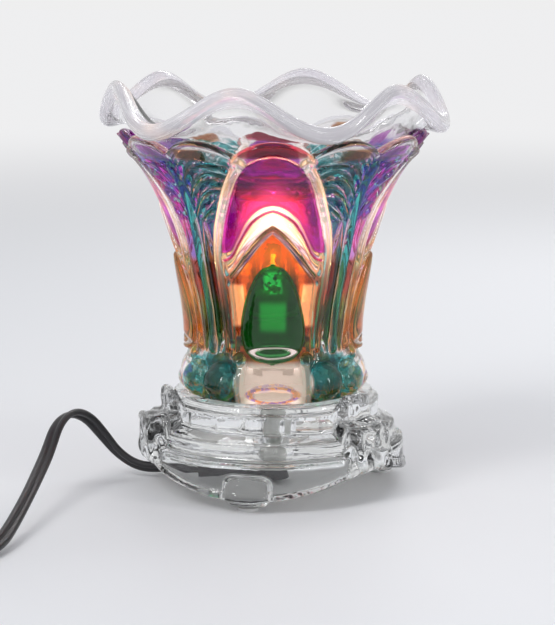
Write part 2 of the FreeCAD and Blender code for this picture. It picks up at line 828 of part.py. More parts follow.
def dimmer_half(bottom, top):
    span = dimmer_length + dimmer_width
    slab = Part.makeBox(span, span, top - bottom, dimmer_middle + V(-span / 2, -span / 2, bottom))
    return dimmer_case().common(slab)


def dimmer_wheel():
    low = dimmer_axis_height - dimmer_wheel_thickness / 2
    high = low + dimmer_wheel_thickness
    wheel = disc(dimmer_wheel_radius, low, high)
    dent = disc(dimmer_dent_radius, low - overrun, high + overrun, dimmer_wheel_radius)
    bore = disc(dimmer_axle_radius + dimmer_axle_gap, low - overrun, high + overrun)
    wheel = wheel.cut(around(dent, dimmer_wheel_dents) + [bore])
    wheel.translate(dimmer_middle)
    return wheel


# Plug
def rounded_rectangle(width, height, rounding, y):
    points = [(-width / 2, -height / 2, rounding), (width / 2, -height / 2, rounding),
              (width / 2, height / 2, rounding), (-width / 2, height / 2, rounding)]
    wire = outline(points)
    wire.translate(V(0, y, 0))
    return wire


def plug_body(start):
    """Tapered strain relief and flat body, along +Y from where the lead meets it."""
    relief = Part.makeCone(plug_relief_radius, plug_relief_root_radius, plug_relief_length, ORIGIN, V(0, 1, 0))
    shoulder = plug_relief_length + plug_shoulder_length
    end = plug_relief_length + plug_body_length
    taper = Part.makeLoft([
        rounded_rectangle(plug_root_width, plug_root_height, plug_corner_round, plug_relief_length),
        rounded_rectangle(plug_width, plug_height, plug_corner_round, shoulder)], True, True)
    body = Part.Face(rounded_rectangle(plug_width, plug_height, plug_corner_round, shoulder))
    body = body.extrude(V(0, end - shoulder, 0))
    plug = relief.fuse([taper, body]).removeSplitter()
    plug.translate(start)
    return plug


def plug_blades(start):
    blades = []
    for side in (-1, 1):
        blade = Part.makeBox(blade_thickness, blade_length, blade_width,
                             V(side * blade_pitch / 2 - blade_thickness / 2,
                               plug_relief_length + plug_body_length, -blade_width / 2))
        hole = Part.makeCylinder(blade_hole_radius, blade_pitch,
                                 V(side * blade_pitch / 2 - blade_pitch / 2,
                                   plug_relief_length + plug_body_length + blade_length - blade_hole_inset, 0),
                                 V(1, 0, 0))
        blades.append(blade.cut(hole))
    pair = Part.makeCompound(blades)
    pair.translate(start)
    return pair


def save(name, shape):
    solids = shape.Solids
    print(name, "solids", len(solids), "volume", round(shape.Volume, 1), "valid", shape.isValid())
    shape.exportStep("parts/" + name + ".step")


def single(shape):
    """The one solid of a result that should hold just one."""
    return shape.Solids[0] if len(shape.Solids) == 1 else shape


coil, coil_end = coil_path()
print_least_gap(coil)
plug_start = coil_end + V(0, last_run_length, 0)

nodes = {
    "glass_base": glass_base(),
    "foot_pads": foot_pads(),
    "rubber_washer": ring(clamp_bore, rubber_washer_radius, rubber_washer_bottom, ceiling_height),
    "steel_washer": ring(clamp_bore, steel_washer_radius, steel_washer_bottom, rubber_washer_bottom),
    "bottom_nut": hex_nut(bottom_nut_bottom),
    "top_nut": hex_nut(strip_top),
    "threaded_tube": threaded_tube(),
    "socket_plate": socket_plate(),
    "socket_bracket": socket_bracket(),
    "socket_screws": socket_screws(),
    "socket_body": socket_body(),
    "socket_contacts": socket_contacts(),
    "lead_wires": lead_wires(),
    "bulb_pins": bulb_pins(),
    "bulb_envelope": bulb_envelope(),
    "bulb_filament": bulb_filament(),
    "bulb_supports": bulb_supports(),
    "glass_shade": glass_shade(),
    "wax_dish": wax_dish(),
    "cord_relief": cord_relief(),
    "cord_to_dimmer": tube(tube_path(lead_route)),
    "cord_from_dimmer": tube(tube_path(second_route)),
    "cord_coil": tube(coil),
    "cord_to_plug": tube(Part.Wire([Part.LineSegment(coil_end, plug_start).toShape()])),
    "dimmer_lower_shell": dimmer_half(0, dimmer_axis_height),
    "dimmer_upper_shell": dimmer_half(dimmer_axis_height, dimmer_height),
    "dimmer_wheel": dimmer_wheel(),
    "dimmer_axle": axle(),
    "dimmer_screws": Part.makeCompound(dimmer_screw_solids()),
    "plug_body": plug_body(plug_start),
    "plug_blades": plug_blades(plug_start),
}
for name, shape in nodes.items():
    save(name, single(shape))
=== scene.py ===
import math

import bmesh
import bpy
import numpy as np
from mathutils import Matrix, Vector, noise


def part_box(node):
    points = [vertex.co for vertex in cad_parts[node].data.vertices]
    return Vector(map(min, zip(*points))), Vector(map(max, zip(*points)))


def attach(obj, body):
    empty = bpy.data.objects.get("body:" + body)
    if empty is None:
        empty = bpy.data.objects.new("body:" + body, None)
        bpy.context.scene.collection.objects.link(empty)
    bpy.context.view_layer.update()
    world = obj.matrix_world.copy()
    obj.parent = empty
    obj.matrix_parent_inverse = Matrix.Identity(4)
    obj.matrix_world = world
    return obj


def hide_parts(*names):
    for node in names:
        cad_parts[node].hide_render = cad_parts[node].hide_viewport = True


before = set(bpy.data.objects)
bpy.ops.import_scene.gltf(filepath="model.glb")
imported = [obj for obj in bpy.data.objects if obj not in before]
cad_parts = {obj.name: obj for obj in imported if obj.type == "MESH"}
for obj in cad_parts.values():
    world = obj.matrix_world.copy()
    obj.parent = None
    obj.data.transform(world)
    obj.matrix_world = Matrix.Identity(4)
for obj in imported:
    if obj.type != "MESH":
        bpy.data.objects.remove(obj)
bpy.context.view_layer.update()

MM = 0.001
TINY = 1e-6
RIGHT_ANGLE = 90.0
FULL_TURN = 360.0


# Camera at the photograph's viewing angle
CAMERA_PLACE = (1.7 * MM, -780 * MM, 205 * MM)
CAMERA_TILT = 10.1
CAMERA_LENS = 118.65
CAMERA_SENSOR = 36.0


def add_camera():
    camera = bpy.data.cameras.new("camera")
    camera.lens = CAMERA_LENS
    camera.sensor_fit = "VERTICAL"
    camera.sensor_height = CAMERA_SENSOR
    camera.clip_start = 0.01
    holder = bpy.data.objects.new("camera", camera)
    holder.location = CAMERA_PLACE
    holder.rotation_euler = (math.radians(RIGHT_ANGLE - CAMERA_TILT), 0, 0)
    bpy.context.collection.objects.link(holder)
    bpy.context.scene.camera = holder


# Meshes
def mesh_object(name, points, faces):
    mesh = bpy.data.meshes.new(name)
    mesh.from_pydata(points, [], faces)
    mesh.validate()
    mesh.shade_smooth()
    piece = bpy.data.objects.new(name, mesh)
    bpy.context.collection.objects.link(piece)
    return piece


def loop_faces(rows, columns, close_rows=True):
    """Quads of a grid whose columns close on themselves, and whose rows may too."""
    last = rows if close_rows else rows - 1
    row = np.arange(last)[:, None]
    column = np.arange(columns)[None, :]
    after_row = (row + 1) % rows
    after_column = (column + 1) % columns
    corners = [row * columns + column, row * columns + after_column,
               after_row * columns + after_column, after_row * columns + column]
    quads = [corner + np.zeros_like(row + column) for corner in corners]
    return np.stack(quads, -1).reshape(-1, 4).tolist()


def smooth_curve(table, places):
    """Values at places along a table of (place, value) points, on a smooth curve through them."""
    x, y = (np.array(column, float) for column in zip(*table))
    slopes = np.gradient(y, x)
    places = np.clip(places, x[0], x[-1])
    i = np.clip(np.searchsorted(x, places) - 1, 0, len(x) - 2)
    step = x[i + 1] - x[i]
    t = (places - x[i]) / step
    return ((2 * t**3 - 3 * t**2 + 1) * y[i] + (t**3 - 2 * t**2 + t) * step * slopes[i]
            + (3 * t**2 - 2 * t**3) * y[i + 1] + (t**3 - t**2) * step * slopes[i + 1])


def smooth_step(low, high, value):
    t = np.clip((value - low) / (high - low), 0, 1)
    return t * t * (3 - 2 * t)


def ridge(distance, half_width, proud):
    """Rounded ridge over a distance from its middle line."""
    return proud * np.clip(1 - (distance / half_width)**2, 0, 1)**0.8


def round_top(distance):
    """Height of a round dome over a distance from its middle, 0 from 1 on."""
    return np.sqrt(np.clip(1 - distance**2, 0, 1))


def softened(name, node, voxel, rounds, added=None, shift=None):
    """A copy of a CAD node's mesh with its edges melted round, as pressed or moulded pieces have them."""
    shape = bmesh.new()
    shape.from_mesh(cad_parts[node].data)
    if added:
        shape.from_mesh(added)
    bmesh.ops.remove_doubles(shape, verts=shape.verts, dist=TINY)
    mesh = bpy.data.meshes.new(name)
    shape.to_mesh(mesh)
    shape.free()
    piece = bpy.data.objects.new(name, mesh)
    bpy.context.collection.objects.link(piece)
    remesh = piece.modifiers.new("remesh", "REMESH")
    remesh.mode = "VOXEL"
    remesh.voxel_size = voxel
    smooth = piece.modifiers.new("smooth", "SMOOTH")
    smooth.factor = 0.5
    smooth.iterations = rounds
    bpy.context.view_layer.update()
    result = bpy.data.meshes.new_from_object(piece.evaluated_get(bpy.context.evaluated_depsgraph_get()))
    piece.modifiers.clear()
    piece.data = result
    if shift:
        moves = [shift(vertex.co / MM, vertex.normal) * MM for vertex in result.vertices]
        for vertex, move in zip(result.vertices, moves):
            vertex.co += move
    result.shade_smooth()
    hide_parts(node)
    return piece


# Pressed glass base: its rolled lower rim, its facets and its hammered corner blocks
SKIRT_RADIUS = 50.5
SKIRT_EDGE_HEIGHT = 5.0
SKIRT_EDGE_ARC = 102.0
BASE_SIDES = 3
PANEL_ANGLE = -12.0
ROLL_RADIUS = 1.9
ROLL_INSET = 0.7
ROLL_LIFT = 0.7
# Where the top tier's facets are: radius low and high, then height low and high
TOP_TIER = (39.3, 42.2, 27.4, 33.4)
TIER_FACETS = 20
BLOCK_HALF_ANGLE = 15.0
BLOCKS_OUTSIDE = 39.8
BLOCKS_OVER = 11.0
BLOCKS_LIFT = 4.0
BLOCK_EDGE = 3.0
BLOCK_CLIMB = 10.0
HAMMER_DEPTH = 0.8
HAMMER_SIZE = 4.2
LEDGE_RADIUS = 42.0
LEDGE_HEIGHT = 20.5
LEDGE_DROP = 1.8
LEDGE_EDGE = 3.0
NUB_INSIDE = 47.5
NUB_HALF_WIDTH = 8.2
NUB_MIDDLE = 6.4
NUB_HALF_HEIGHT = 6.0
NUB_DOME = 2.2
WAVE_DEPTH = 0.14
WAVE_SIZE = 9.0


def rolled_rim():
    """Closed tube along the bowed lower edge of the base's skirt."""
    steps, sides = 60, 12
    middle = SKIRT_RADIUS - ROLL_INSET
    half_width = SKIRT_RADIUS * math.sin(math.pi / BASE_SIDES)
    points = []
    for panel in range(BASE_SIDES):
        for i in range(steps):
            turn = FULL_TURN / BASE_SIDES * ((i + 0.5) / steps - 0.5)
            across = min(half_width, abs(SKIRT_RADIUS * math.sin(math.radians(turn))))
            bow = SKIRT_EDGE_ARC - math.sqrt(SKIRT_EDGE_ARC**2 - across**2)
            height = SKIRT_EDGE_HEIGHT + bow + ROLL_LIFT
            angle = math.radians(turn + PANEL_ANGLE + panel * FULL_TURN / BASE_SIDES)
            for k in range(sides):
                lean = k * math.tau / sides
                radius = middle + ROLL_RADIUS * math.cos(lean)
                points.append((radius * math.sin(angle), -radius * math.cos(angle),
                               height + ROLL_RADIUS * math.sin(lean)))
    mesh = bpy.data.meshes.new("rolled_rim")
    mesh.from_pydata((np.array(points) * MM).tolist(), [], loop_faces(BASE_SIDES * steps, sides))
    return mesh


def base_shift(place, normal):
    """How the pressed base departs from its plain form at a place, in mm."""
    radius = math.hypot(place.x, place.y)
    turn = math.degrees(math.atan2(place.x, -place.y)) - PANEL_ANGLE
    side = FULL_TURN / BASE_SIDES
    from_corner = abs((turn % side) - side / 2)
    move = normal * (WAVE_DEPTH * noise.noise(place / WAVE_SIZE))
    inner, outer, low, high = TOP_TIER
    if inner < radius < outer and low < place.z < high:
        facet = FULL_TURN / TIER_FACETS
        lean = math.radians((turn % facet) - facet / 2)
        share = math.cos(math.radians(facet / 2)) / math.cos(lean) - 1
        move += Vector((place.x, place.y, 0)) * share
    if radius > BLOCKS_OUTSIDE and place.z > BLOCKS_OVER and from_corner < BLOCK_HALF_ANGLE:
        fade = min(1.0, (BLOCK_HALF_ANGLE - from_corner) / BLOCK_EDGE, radius - BLOCKS_OUTSIDE)
        move += normal * (HAMMER_DEPTH * fade * noise.noise(place / HAMMER_SIZE))
        move.z += BLOCKS_LIFT * fade * min(1.0, (place.z - BLOCKS_OVER) / BLOCK_CLIMB)
    elif radius > LEDGE_RADIUS and place.z > LEDGE_HEIGHT:
        inward, down = radius - LEDGE_RADIUS, place.z - LEDGE_HEIGHT
        move.z -= LEDGE_DROP * min(1.0, inward / LEDGE_EDGE, down / LEDGE_EDGE)
    out = Vector((place.x, place.y, 0)) / max(radius, 1.0)
    across = radius * math.sin(math.radians((turn + side / 2) % side - side / 2))
    dome = 1 - (across / NUB_HALF_WIDTH)**2 - ((place.z - NUB_MIDDLE) / NUB_HALF_HEIGHT)**2
    if radius > NUB_INSIDE and dome > 0 and normal.dot(out) > 0:
        move += out * (NUB_DOME * math.sqrt(dome))
    return move


# Materials
class Graph:
    """One material's nodes, with a short call for each kind that it uses."""

    def __init__(self, name):
        self.material = bpy.data.materials.new(name)
        self.material.use_nodes = True
        self.tree = self.material.node_tree
        self.shader = self.tree.nodes["Principled BSDF"]
        self.place = self.add("ShaderNodeTexCoord").outputs["Object"]

    def add(self, kind, inputs=(), **settings):
        node = self.tree.nodes.new(kind)
        for key, value in settings.items():
            setattr(node, key, value)
        for socket, value in dict(inputs).items():
            self.put(node.inputs[socket], value)
        return node

    def put(self, socket, value):
        if isinstance(value, bpy.types.NodeSocket):
            self.tree.links.new(value, socket)
        else:
            socket.default_value = value

    def math(self, operation, first, second=0.0, clamp=False):
        node = self.add("ShaderNodeMath", {0: first, 1: second}, operation=operation, use_clamp=clamp)
        return node.outputs[0]

    def times(self, first, *others):
        for other in others:
            first = self.math("MULTIPLY", first, other)
        return first

    def plus(self, first, second):
        return self.math("ADD", first, second)

    def minus(self, first, second):
        return self.math("SUBTRACT", first, second)

    def spread(self, value, low, high):
        """A value between 0 and 1 laid over a range."""
        return self.add("ShaderNodeMapRange", {"Value": value, "To Min": low, "To Max": high}).outputs[0]

    def step(self, value, low, high):
        """0 below low, 1 above high, smooth between."""
        return self.add("ShaderNodeMapRange", {"Value": value, "From Min": low, "From Max": high},
                        interpolation_type="SMOOTHSTEP").outputs[0]

    def below(self, value, edge, soft):
        """1 where a value is under an edge, 0 past it."""
        return self.step(self.minus(edge, value), -soft, soft)

    def curve(self, value, table, place_scale, value_scale):
        """A table of (place, value) points as a curve node, both held as shares of their scales."""
        share = self.math("DIVIDE", value, place_scale, clamp=True)
        node = self.add("ShaderNodeFloatCurve", {"Value": share})
        points = node.mapping.curves[0].points
        while len(points) < len(table):
            points.new(0.5, 0.5)
        for point, (place, height) in zip(points, sorted(table)):
            point.location = (place / place_scale, height / value_scale)
        node.mapping.update()
        return self.times(node.outputs[0], value_scale)

    def mix(self, factor, first, second):
        return self.add("ShaderNodeMixRGB", {"Fac": factor, "Color1": first, "Color2": second}).outputs[0]

    def noise(self, scale, detail=3.0, place=None):
        inputs = {"Vector": place or self.place, "Scale": scale, "Detail": detail}
        return self.add("ShaderNodeTexNoise", inputs).outputs["Fac"]

    def bump(self, height, distance, strength=1.0):
        node = self.add("ShaderNodeBump", {"Height": height, "Distance": distance, "Strength": strength})
        self.put(self.shader.inputs["Normal"], node.outputs[0])

    def set(self, **values):
        names = {"color": "Base Color", "rough": "Roughness", "metal": "Metallic", "ior": "IOR",
                 "transmission": "Transmission Weight", "coat": "Coat Weight",
                 "emission": "Emission Color", "glow": "Emission Strength"}
        for key, value in values.items():
            self.put(self.shader.inputs[names[key]], value)


def tone(red, green, blue):
    return (red, green, blue, 1.0)


def varied(graph, dark, light, scale):
    return graph.mix(graph.noise(scale), tone(*dark), tone(*light))


GRAIN_SCALE = 900.0
GLOSS_SCALE = 75.0
COLOR_SCALE = 45.0


def solid_finish(name, dark, light, rough, metal=0.0, depth=0.02):
    """Opaque finish with fine variation of colour, gloss and surface. Its grain's depth is in mm."""
    graph = Graph(name)
    gloss = graph.spread(graph.noise(GLOSS_SCALE), *rough)
    graph.set(color=varied(graph, dark, light, COLOR_SCALE), rough=gloss, metal=metal)
    graph.bump(graph.noise(GRAIN_SCALE), depth * MM)
    return graph.material


GLASS_INDEX = 1.5
GLASS_GLOSS_SCALE = 120.0
GLASS_COLOR_SCALE = 60.0


def clear_glass(name, dark, light, rough, wave, wave_scale=150.0):
    """Clear glass with a slow unevenness, whose depth is in mm."""
    graph = Graph(name)
    gloss = graph.spread(graph.noise(GLASS_GLOSS_SCALE), *rough)
    graph.set(color=varied(graph, dark, light, GLASS_COLOR_SCALE), rough=gloss, transmission=1.0,
              ior=GLASS_INDEX)
    graph.bump(graph.noise(wave_scale, 2.0), wave * MM, 0.5)
    return graph.material


# Pressed glass shade: heights are above its foot in mm, and angles from a face's middle in degrees
SHADE_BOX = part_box("glass_shade")
SHADE_FOOT = SHADE_BOX[0][2] / MM
SHADE_HEIGHT = (SHADE_BOX[1][2] - SHADE_BOX[0][2]) / MM
SHADE_MOUTH = 60.2
HALF_FACE = 45.0
# Outer radius and wall as shares of the mouth, over shares of the height
OUTER_SHARES = [(0.0, 0.573), (0.05, 0.594), (0.10, 0.585), (0.145, 0.548), (0.19, 0.522), (0.24, 0.518),
                (0.34, 0.537), (0.45, 0.578), (0.56, 0.626), (0.67, 0.672), (0.75, 0.717), (0.87, 0.83),
                (0.94, 0.92), (1.0, 1.0)]
WALL_SHARES = [(0.0, 0.118), (0.13, 0.105), (0.20, 0.08), (0.34, 0.078), (0.56, 0.078), (0.75, 0.076),
               (0.87, 0.076), (1.0, 0.072)]
# Edges of the cast forms: the two of the chevron give heights over angles, the others angles over heights
DOME_EDGE = [(56, 29.5), (66, 26.5), (76, 21.3), (80.5, 18.8), (88.7, 12.5), (92, 8.5), (93.8, 4), (94.6, 0)]
CHEVRON_TOP = [(0, 75.9), (4, 75.3), (8.5, 73.4), (12, 70.8), (15.5, 67.2), (18.5, 63.2), (21.5, 59.4),
               (25, 57.4), (30, 57.0), (45, 57.0)]
CHEVRON_FOOT = [(0, 65.0), (4, 62.6), (8.5, 59.2), (15, 53.8), (22, 48.6), (26, 45.6), (30, 42), (45, 25)]
COLUMN_LINE = [(20, 30.2), (38, 31.4), (50, 31.6), (58.9, 31.0), (66, 29), (75, 24.6), (83, 19.6), (90.5, 14)]
EGG_WIDEST = 21.4
EGG_EDGE = [(15.2, 0), (16.2, 9), (18, 15), (21, 19.4), (25, EGG_WIDEST), (29, 21.1), (35, 18.7), (41, 15.2),
            (46, 11.4), (50, 7.4), (52, 4.1), (53, 0)]
# Half width of the leaf beside each arch in mm, over its height
LEAF_EDGE = [(18, 0), (24, 2.2), (36, 3.0), (50, 2.8), (62, 1.8), (70, 0)]
# Ribs of the chevron: middle and half width as shares of its band, and how far each stands out
CHEVRON_RIBS = [(0.9, 0.13, 1.1), (0.52, 0.22, 1.7), (0.14, 0.14, 0.7)]
# Where the other forms of the relief lie, how wide they are and how far they stand out
DOME_STEP = 0.35
DOME_CROWN = 1.1
FRAME_EDGE = 28.6
FRAME_LINE = 28.2
FRAME_FOOT = (15.5, 17.5)
FRAME_HALF_WIDTH = 1.2
FRAME_PROUD = 1.0
PANEL_EDGE = 26.2
PANEL_FOOT = (15.0, 18.0)
PANEL_DEPTH = 0.7
COLUMN_FOOT = (18.0, 21.0)
COLUMN_SLANT = 0.96
COLUMN_HALF_WIDTH = 2.0
COLUMN_PROUD = 1.9
KNOB_HEIGHT = 91.0
KNOB_ANGLE = 13.6
KNOB_HALF_WIDTH = 3.0
KNOB_PROUD = 2.4
EGG_PROUD = 3.4
EGG_FALL = 0.55
EYE_HEIGHT = 19.6
EYE_HALF_ANGLE = 15.0
EYE_RISE = 2.1
# Groove round the eye: middle and half width as shares of it, and depth
EYE_GROOVE = (0.95, 0.25, 0.5)
LEAF_ANGLE = 38.0
LEAF_PROUD = 0.9
CORNER_START = 3.0
CORNER_END = 42.5
CORNER_FOOT = (68.0, 71.0)
CORNER_TOP = 91.0
CORNER_PROUD = 1.9
CRINKLE_MIDDLE = 26.0
CRINKLE_BOW = 0.04
CRINKLE_RATE = 0.98
CRINKLE_SWAY = (0.6, 0.25)
RIB_FOOT = (17.0, 19.5)
RIB_TOP = 91.0
RIB_HALF_WIDTH = 1.9
RIB_PROUD = 2.2
LOOP_HALF_WIDTH = 3.6
LOOP_DROP = 4.0
LOOP_STRETCH = 0.8
LOBE_ANGLE = 34.0
LOBE_HEIGHT = 7.8
LOBE_HALF_WIDTH = 7.4
LOBE_HALF_HEIGHT = 7.2
LOBE_TOP = 18.0
LOBE_PROUD = 3.1
WINDOW_TOP = 14.6
WINDOW_EDGE = 23.5
WINDOW_DEPTH = 0.8
LENS_HEIGHT = 3.9
LENS_HALF_WIDTH = 9.6
LENS_RISE = 3.2
LENS_PROUD = 1.8
DIMPLE_ANGLE = 23.0
DIMPLE_HEIGHT = 16.4
DIMPLE_HALF_WIDTH = 2.6
DIMPLE_PROUD = 1.5
LIP_PETALS = 12
LIP_DROP = 5.0
LIP_START = 0.86
LIP_SHARE = 0.98
FOOT_SHARE = 0.012
FOOT_RADIUS = 34.0


def crinkle(angle, height):
    """Bowed ripples of the corner panels, as left by a hand-cut mould."""
    bow = height + CRINKLE_BOW * (angle - CRINKLE_MIDDLE)**2
    sway = angle * CRINKLE_SWAY[0] + height * CRINKLE_SWAY[1]
    return (0.5 + 0.5 * np.sin(bow * CRINKLE_RATE)) * (0.75 + 0.25 * np.sin(sway))


def shade_relief(angle, height, radius):
    """How far the shade's outer side stands out at an angle from a face's middle and a height."""
    def beside(line):
        return radius * np.radians(angle - line)

    def raised(form):
        """The relief so far with a form that stands out of it."""
        return np.maximum(out, form)

    column_line = smooth_curve(COLUMN_LINE, height)
    dome = smooth_curve(DOME_EDGE, height)
    chevron_top = smooth_curve(CHEVRON_TOP, angle)
    chevron_foot = smooth_curve(CHEVRON_FOOT, angle)
    in_dome = smooth_step(-0.6, 0.6, dome - angle) * smooth_step(-0.4, 0.8, height - chevron_top)
    out = in_dome * (DOME_STEP + DOME_CROWN * round_top(angle / np.maximum(dome, 1)))
    in_frame = smooth_step(-0.8, 0.8, FRAME_EDGE - angle)
    band = (height - chevron_foot) / np.maximum(chevron_top - chevron_foot, 1)
    out += in_frame * sum(ridge(band - middle, width, proud) for middle, width, proud in CHEVRON_RIBS)
    panel = smooth_step(-0.8, 0.8, PANEL_EDGE - angle) * smooth_step(0, 1.2, chevron_foot - height)
    out -= panel * smooth_step(*PANEL_FOOT, height) * PANEL_DEPTH
    frame_span = smooth_step(*FRAME_FOOT, height) * smooth_step(0, 3, chevron_top - height)
    out += ridge(beside(FRAME_LINE), FRAME_HALF_WIDTH, FRAME_PROUD) * frame_span
    column = ridge(beside(column_line) * COLUMN_SLANT, COLUMN_HALF_WIDTH, COLUMN_PROUD)
    column_span = smooth_step(*COLUMN_FOOT, height) * smooth_step(-1.5, 0.5, KNOB_HEIGHT - height)
    out = raised(column * column_span)
    out = raised(ridge(np.hypot(beside(KNOB_ANGLE), height - KNOB_HEIGHT), KNOB_HALF_WIDTH, KNOB_PROUD))
    edge = smooth_curve(EGG_EDGE, height)
    egg = round_top(angle / np.maximum(edge, 0.3)) * (edge / EGG_WIDEST)**EGG_FALL
    in_egg = (height > EGG_EDGE[0][0]) & (height < EGG_EDGE[-1][0]) & (angle < edge)
    out = np.where(in_egg, raised(EGG_PROUD * egg), out)
    eye = np.hypot(angle / EYE_HALF_ANGLE, (height - EYE_HEIGHT) / EYE_RISE)
    out -= in_egg * ridge(eye - EYE_GROOVE[0], *EYE_GROOVE[1:])
    leaf_edge = np.maximum(smooth_curve(LEAF_EDGE, height), 0.05)
    in_leaf = (height > LEAF_EDGE[0][0]) & (height < LEAF_EDGE[-1][0])
    out += np.where(in_leaf, ridge(beside(LEAF_ANGLE), leaf_edge, LEAF_PROUD), 0)
    corner = smooth_step(0, 2.5, angle - column_line - CORNER_START) * smooth_step(0, 2, CORNER_END - angle)
    corner *= smooth_step(*CORNER_FOOT, height) * smooth_step(0, 2, CORNER_TOP - height)
    out += corner * crinkle(angle, height) * CORNER_PROUD
    rib = beside(HALF_FACE)
    rib_span = smooth_step(*RIB_FOOT, height) * smooth_step(-0.5, 2, RIB_TOP - height)
    loop = np.hypot(rib, (height - RIB_TOP + LOOP_DROP) * LOOP_STRETCH)
    out = raised(ridge(rib, RIB_HALF_WIDTH, RIB_PROUD) * rib_span)
    out = raised(ridge(loop, LOOP_HALF_WIDTH, RIB_PROUD))
    lobe = np.hypot(beside(LOBE_ANGLE) / LOBE_HALF_WIDTH, (height - LOBE_HEIGHT) / LOBE_HALF_HEIGHT)
    out = np.where(height < LOBE_TOP, raised(LOBE_PROUD * round_top(lobe)), out)
    window = smooth_step(-1, 1, WINDOW_EDGE - angle) * smooth_step(-1, 1, WINDOW_TOP - height)
    lens = np.hypot(beside(0) / LENS_HALF_WIDTH, (height - LENS_HEIGHT) / LENS_RISE)
    out -= window * WINDOW_DEPTH
    out += window * LENS_PROUD * round_top(lens)
    dimple = np.hypot(beside(DIMPLE_ANGLE), height - DIMPLE_HEIGHT)
    out = raised(DIMPLE_PROUD * round_top(dimple / DIMPLE_HALF_WIDTH))
    return out * smooth_step(0, 1.2, height) * smooth_step(0, 2.0, SHADE_HEIGHT - height)


def shade_mesh():
    around, up, lip, down, foot = 720, 330, 12, 110, 8
    turn = np.linspace(0, FULL_TURN, around, endpoint=False)
    face_angle = np.abs((turn + HALF_FACE) % (2 * HALF_FACE) - HALF_FACE)
    petal = FULL_TURN / LIP_PETALS / 2
    drop = LIP_DROP * (np.abs((turn + petal) % (2 * petal) - petal) / petal)**2
    rows = []

    def place(height, radius):
        x = radius * np.sin(np.radians(turn))
        y = -radius * np.cos(np.radians(turn))
        rows.append(np.stack([x, y, SHADE_FOOT + height], -1) * MM)

    def height_at(share):
        return share * SHADE_HEIGHT - drop * smooth_step(LIP_START, 1.0, share)

    def radii(height):
        outer = SHADE_MOUTH * smooth_curve(OUTER_SHARES, height / SHADE_HEIGHT)
        return outer, SHADE_MOUTH * smooth_curve(WALL_SHARES, height / SHADE_HEIGHT)

    for share in np.linspace(FOOT_SHARE, LIP_SHARE, up):
        height = height_at(share)
        outer, _ = radii(height)
        place(height, outer + shade_relief(face_angle, height, outer))
    top = height_at(LIP_SHARE)
    outer, wall = radii(top)
    rise = height_at(1.0) - top
    for angle in np.linspace(0, math.pi, lip)[1:-1]:
        place(top + rise * math.sin(angle), outer - wall / 2 + wall / 2 * math.cos(angle))
    for share in np.linspace(LIP_SHARE, FOOT_SHARE, down):
        height = height_at(share)
        outer, wall = radii(height)
        place(height, outer - wall)
    low = height_at(FOOT_SHARE)
    outer, wall = radii(low)
    for angle in np.linspace(0, math.pi, foot)[1:-1]:
        place(low - low * math.sin(angle)**0.5, outer - wall / 2 - wall / 2 * math.cos(angle))
    return mesh_object("pressed_shade", np.concatenate(rows).tolist(), loop_faces(len(rows), around))


# Stains, and the warm light that they show round the lamp
MAGENTA = tone(0.30, 0.004, 0.34)
PINK = tone(0.66, 0.05, 0.60)
PLUM = tone(0.10, 0.002, 0.15)
VIOLET = tone(0.085, 0.012, 0.46)
INDIGO = tone(0.03, 0.015, 0.34)
ROSE = tone(0.70, 0.010, 0.13)
MAROON = tone(0.26, 0.004, 0.035)
AMBER = tone(0.90, 0.20, 0.008)
RUST = tone(0.60, 0.12, 0.012)
PEACH = tone(0.98, 0.50, 0.25)
BROWN = tone(0.33, 0.095, 0.02)
TAUPE = tone(0.46, 0.34, 0.33)
RUBY = tone(0.22, 0.010, 0.006)
EMERALD = tone(0.003, 0.19, 0.012)
MOSS = tone(0.035, 0.13, 0.006)
TEAL = tone(0.003, 0.19, 0.20)
# Bright cyan flecks: painted highlights on the corner panels and the lobes
SEA_HIGHLIGHT = tone(0.12, 0.60, 0.64)
# Clear glass, with a faint warm tint painted in for the lamp's light through it
CLEAR = tone(0.94, 0.92, 0.925)
DARK = tone(0.0, 0.0, 0.0)
CREAM_GLOW = tone(1.0, 0.78, 0.52)
ROSE_GLOW = tone(0.85, 0.06, 0.14)
EMBER_GLOW = tone(0.60, 0.33, 0.17)
AMBER_GLOW = tone(0.34, 0.07, 0.003)
PEACH_GLOW = tone(0.40, 0.19, 0.09)
GREEN_GLOW = tone(0.008, 0.34, 0.045)
COLUMN_GLOW = tone(0.60, 0.40, 0.25)
PALE_GLOW = tone(0.34, 0.27, 0.28)
WINDOW_GLOW = tone(0.20, 0.15, 0.12)
# Patches of stain and of painted glow: angle low, high and fade, then height low, high and fade. None is an
# open side
PATCHES = {
    "peach": (18.5, 27.4, 0.6, 29.0, 45.0, 1.0),
    "frame": (13.5, 28.4, 0.8, 24.0, 49.0, 0.8),
    "strip": (28.2, 34.4, 0.5, 16.5, 50.0, 2.5),
    "petal": (27.0, 40.0, 1.5, 92.6, 96.6, 0.6),
    "rib": (42.2, None, 0.6, 17.0, 92.0, 1.0),
    "lobes": (23.5, None, 0.8, None, 15.8, 0.8),
    "window": (None, WINDOW_EDGE, 0.8, None, WINDOW_TOP, 0.8),
    "lip": (None, 13.5, 1.2, 94.2, None, 0.6),
    "socket": (None, 8.0, 1.6, 28.0, 38.5, 1.8),
    "glint": (None, 5.0, 1.5, 42.5, 50.5, 1.0)}
# Spans along the relief: low, high and fade, as heights or as shares of an oval or of the chevron's band
EGG_SPAN = (15.0, 53.6, 0.3)
LEAF_SPAN = (18.0, 54.0, 1.5)
HIGH_LEAF_SPAN = (50.0, 76.0, 5.0)
EYE_RING = (0.78, 1.06, 0.08)
LENS_RING = (0.74, 1.06, 0.06)
ROSE_BAND = (0.74, 0.84, 0.03)
HOT_BANDS = [(0.34, 0.72, 0.05), (0.85, 0.98, 0.03)]
